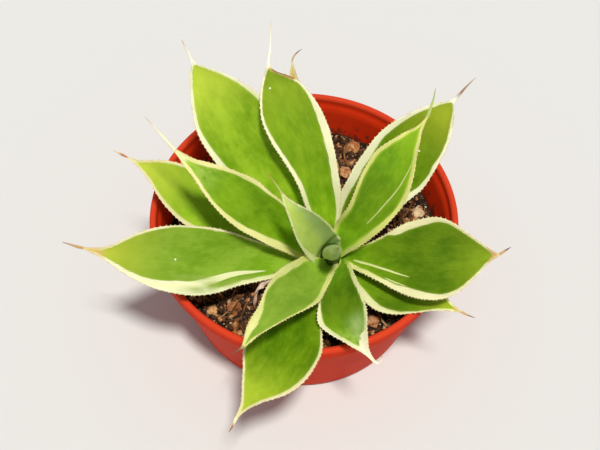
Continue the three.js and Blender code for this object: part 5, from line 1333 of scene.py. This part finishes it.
CHIPS = [
    [15.8, 52.4, 12, 5.2, 2.2, 70, 8], [-39.5, -30.0, 12, 5.0, 2.0, 25, -6], [-25.0, -52.0, 11, 4.6, 2.0, -35, 7],
    [44.5, -39.5, 10, 4.8, 2.0, 60, 5], [54.0, 30.0, 9.0, 4.4, 2.0, -60, -7], [-8.0, 44.0, 12, 5.0, 2.2, 15, 5],
    [-34.5, 46.0, 10.5, 4.6, 2.0, -50, -5],
]
for i, (x, y, l, w, t, turn, pitch) in enumerate(CHIPS):
    g = np.random.default_rng(170 + i)
    p, f, lx, ly = flake(g, l * .97, w, t, .3, 29, 13)
    rot = Matrix.Rotation(math.radians(turn), 3, "Z") @ Matrix.Rotation(math.radians(pitch), 3, "Y")
    p = p @ np.array(rot).T + np.array([x, y, float(soil_z(x, y)) + t * .35])
    name = f"bark_chip_{i + 1:02d}"
    make("fine_" + name, p, f, BARK, {"lx": lx, "ly": ly, "tone": np.full(len(p), g.random())}, True, "bark", (name,))


# ---------------------------------------------------------- withered leaf
def build_withered():
    n = Nodes("dry_skin")
    f = n.noise(n.vec(n.math("MULTIPLY", n.attr("lx"), 2.2), n.math("MULTIPLY", n.attr("lu"), .18), 1.0), 1.0, 3.0, .6)
    col = n.ramp(f, [(.3, srgb(196, 150, 122)), (.55, srgb(238, 208, 184)), (.8, srgb(248, 232, 214))])
    col = n.mix(n.step(.80, 1.0, n.attr("u")), col, srgb(170, 110, 78))
    mat = n.done(col, .7, n.bump(f, .6, .0008))
    path = np.array([[-2.0, -19.0, 57.5], [-8.5, -25.6, 60.6], [-14, -31.4, 62.8], [-18.1, -34.7, 63.4],
                     [-21.3, -37.8, 61.6], [-22.4, -39.9, 57.4], [-22.6, -42.4, 51.6]])
    wid = np.array([1.2, 1.8, 2.0, 1.9, 1.6, 1.3, .7])
    s = np.r_[0, np.cumsum(np.linalg.norm(np.diff(path, axis=0), axis=1))]
    q = np.linspace(0, s[-1], 110)
    P = spline(s, path, q)
    T = unit(np.gradient(P, axis=0))
    W = np.interp(q / s[-1], np.linspace(0, 1, 7), wid)
    b = np.array([.55, .8, .25])
    B = unit(b - T * (T @ b)[:, None])
    U = np.cross(T, B)
    cols = 13
    v = np.linspace(-1, 1, cols)
    rv = np.r_[v, v[-2:0:-1]]; rt = np.r_[np.ones(cols), -np.ones(cols - 2)]
    ring = []
    for i in range(len(q)):
        curl = .55 * W[i] * (rv ** 2 - .4) + .18 * np.sin(q[i] * .9 + 2 * rv)
        hgt = curl + rt * .22 * (1 - .6 * np.abs(rv))
        wob = 1 + .10 * math.sin(q[i] * 1.3) + .06 * math.sin(q[i] * 3.1)
        ring.append(P[i] + B[i] * (rv * W[i] * wob)[:, None] * .92 + U[i] * hgt[:, None])
    V = np.array(ring)
    rows, cc = V.shape[:2]
    f_ = [tuple(k) for k in grid_faces(rows, cc)]
    f_ += [tuple(range(cc)), tuple((rows - 1) * cc + k for k in range(cc))]
    at = {"lx": np.tile(rv * 2, rows), "lu": np.repeat(q, cc), "u": np.repeat(q / s[-1], cc)}
    make("fine_withered_leaf", V.reshape(-1, 3), f_, mat, at, True, "dry_leaf", ("withered_leaf",))


build_withered()

# ----------------------------------------------------- floor, light, world
n = Nodes("floor_paper")
n.done(srgb(214, 213, 211), .85, None, Specular_IOR_Level=.15)
me = bpy.data.meshes.new("floor")
rad = np.r_[2.2, np.linspace(2.8, 14, 24)]
turn = np.linspace(0, 2 * math.pi, 64, endpoint=False)
fv = [(r * math.cos(t), r * math.sin(t), .0297 * (r - 2.2) ** 2) for r in rad for t in turn]
me.from_pydata(fv, [], [tuple(int(k) for k in f[::-1]) for f in grid_faces(len(rad), len(turn))] + [tuple(range(len(turn)))])
me.polygons.foreach_set("use_smooth", [True] * len(me.polygons))
me.materials.append(n.mat)
floor = bpy.data.objects.new("floor", me)
bpy.context.scene.collection.objects.link(floor)


def sun(name, toward, angle, energy, color=(1, 1, 1)):
    d = bpy.data.lights.new(name, "SUN")
    d.angle, d.energy, d.color = math.radians(angle), energy, color
    o = bpy.data.objects.new(name, d)
    o.location = toward
    o.rotation_mode = "QUATERNION"
    o.rotation_quaternion = Vector(toward).to_track_quat("Z", "Y")
    bpy.context.scene.collection.objects.link(o)
    return o


sun("key", (.25, -.84, 2.94), 6.2, 3.08, (1.0, .985, .94))
world = bpy.data.worlds.new("studio")
bpy.context.scene.world = world
world.use_nodes = True
world.node_tree.nodes["Background"].inputs[0].default_value = (.92, .95, 1.0, 1.0)
world.node_tree.nodes["Background"].inputs[1].default_value = .30
bpy.context.scene.view_settings.view_transform = "Standard"
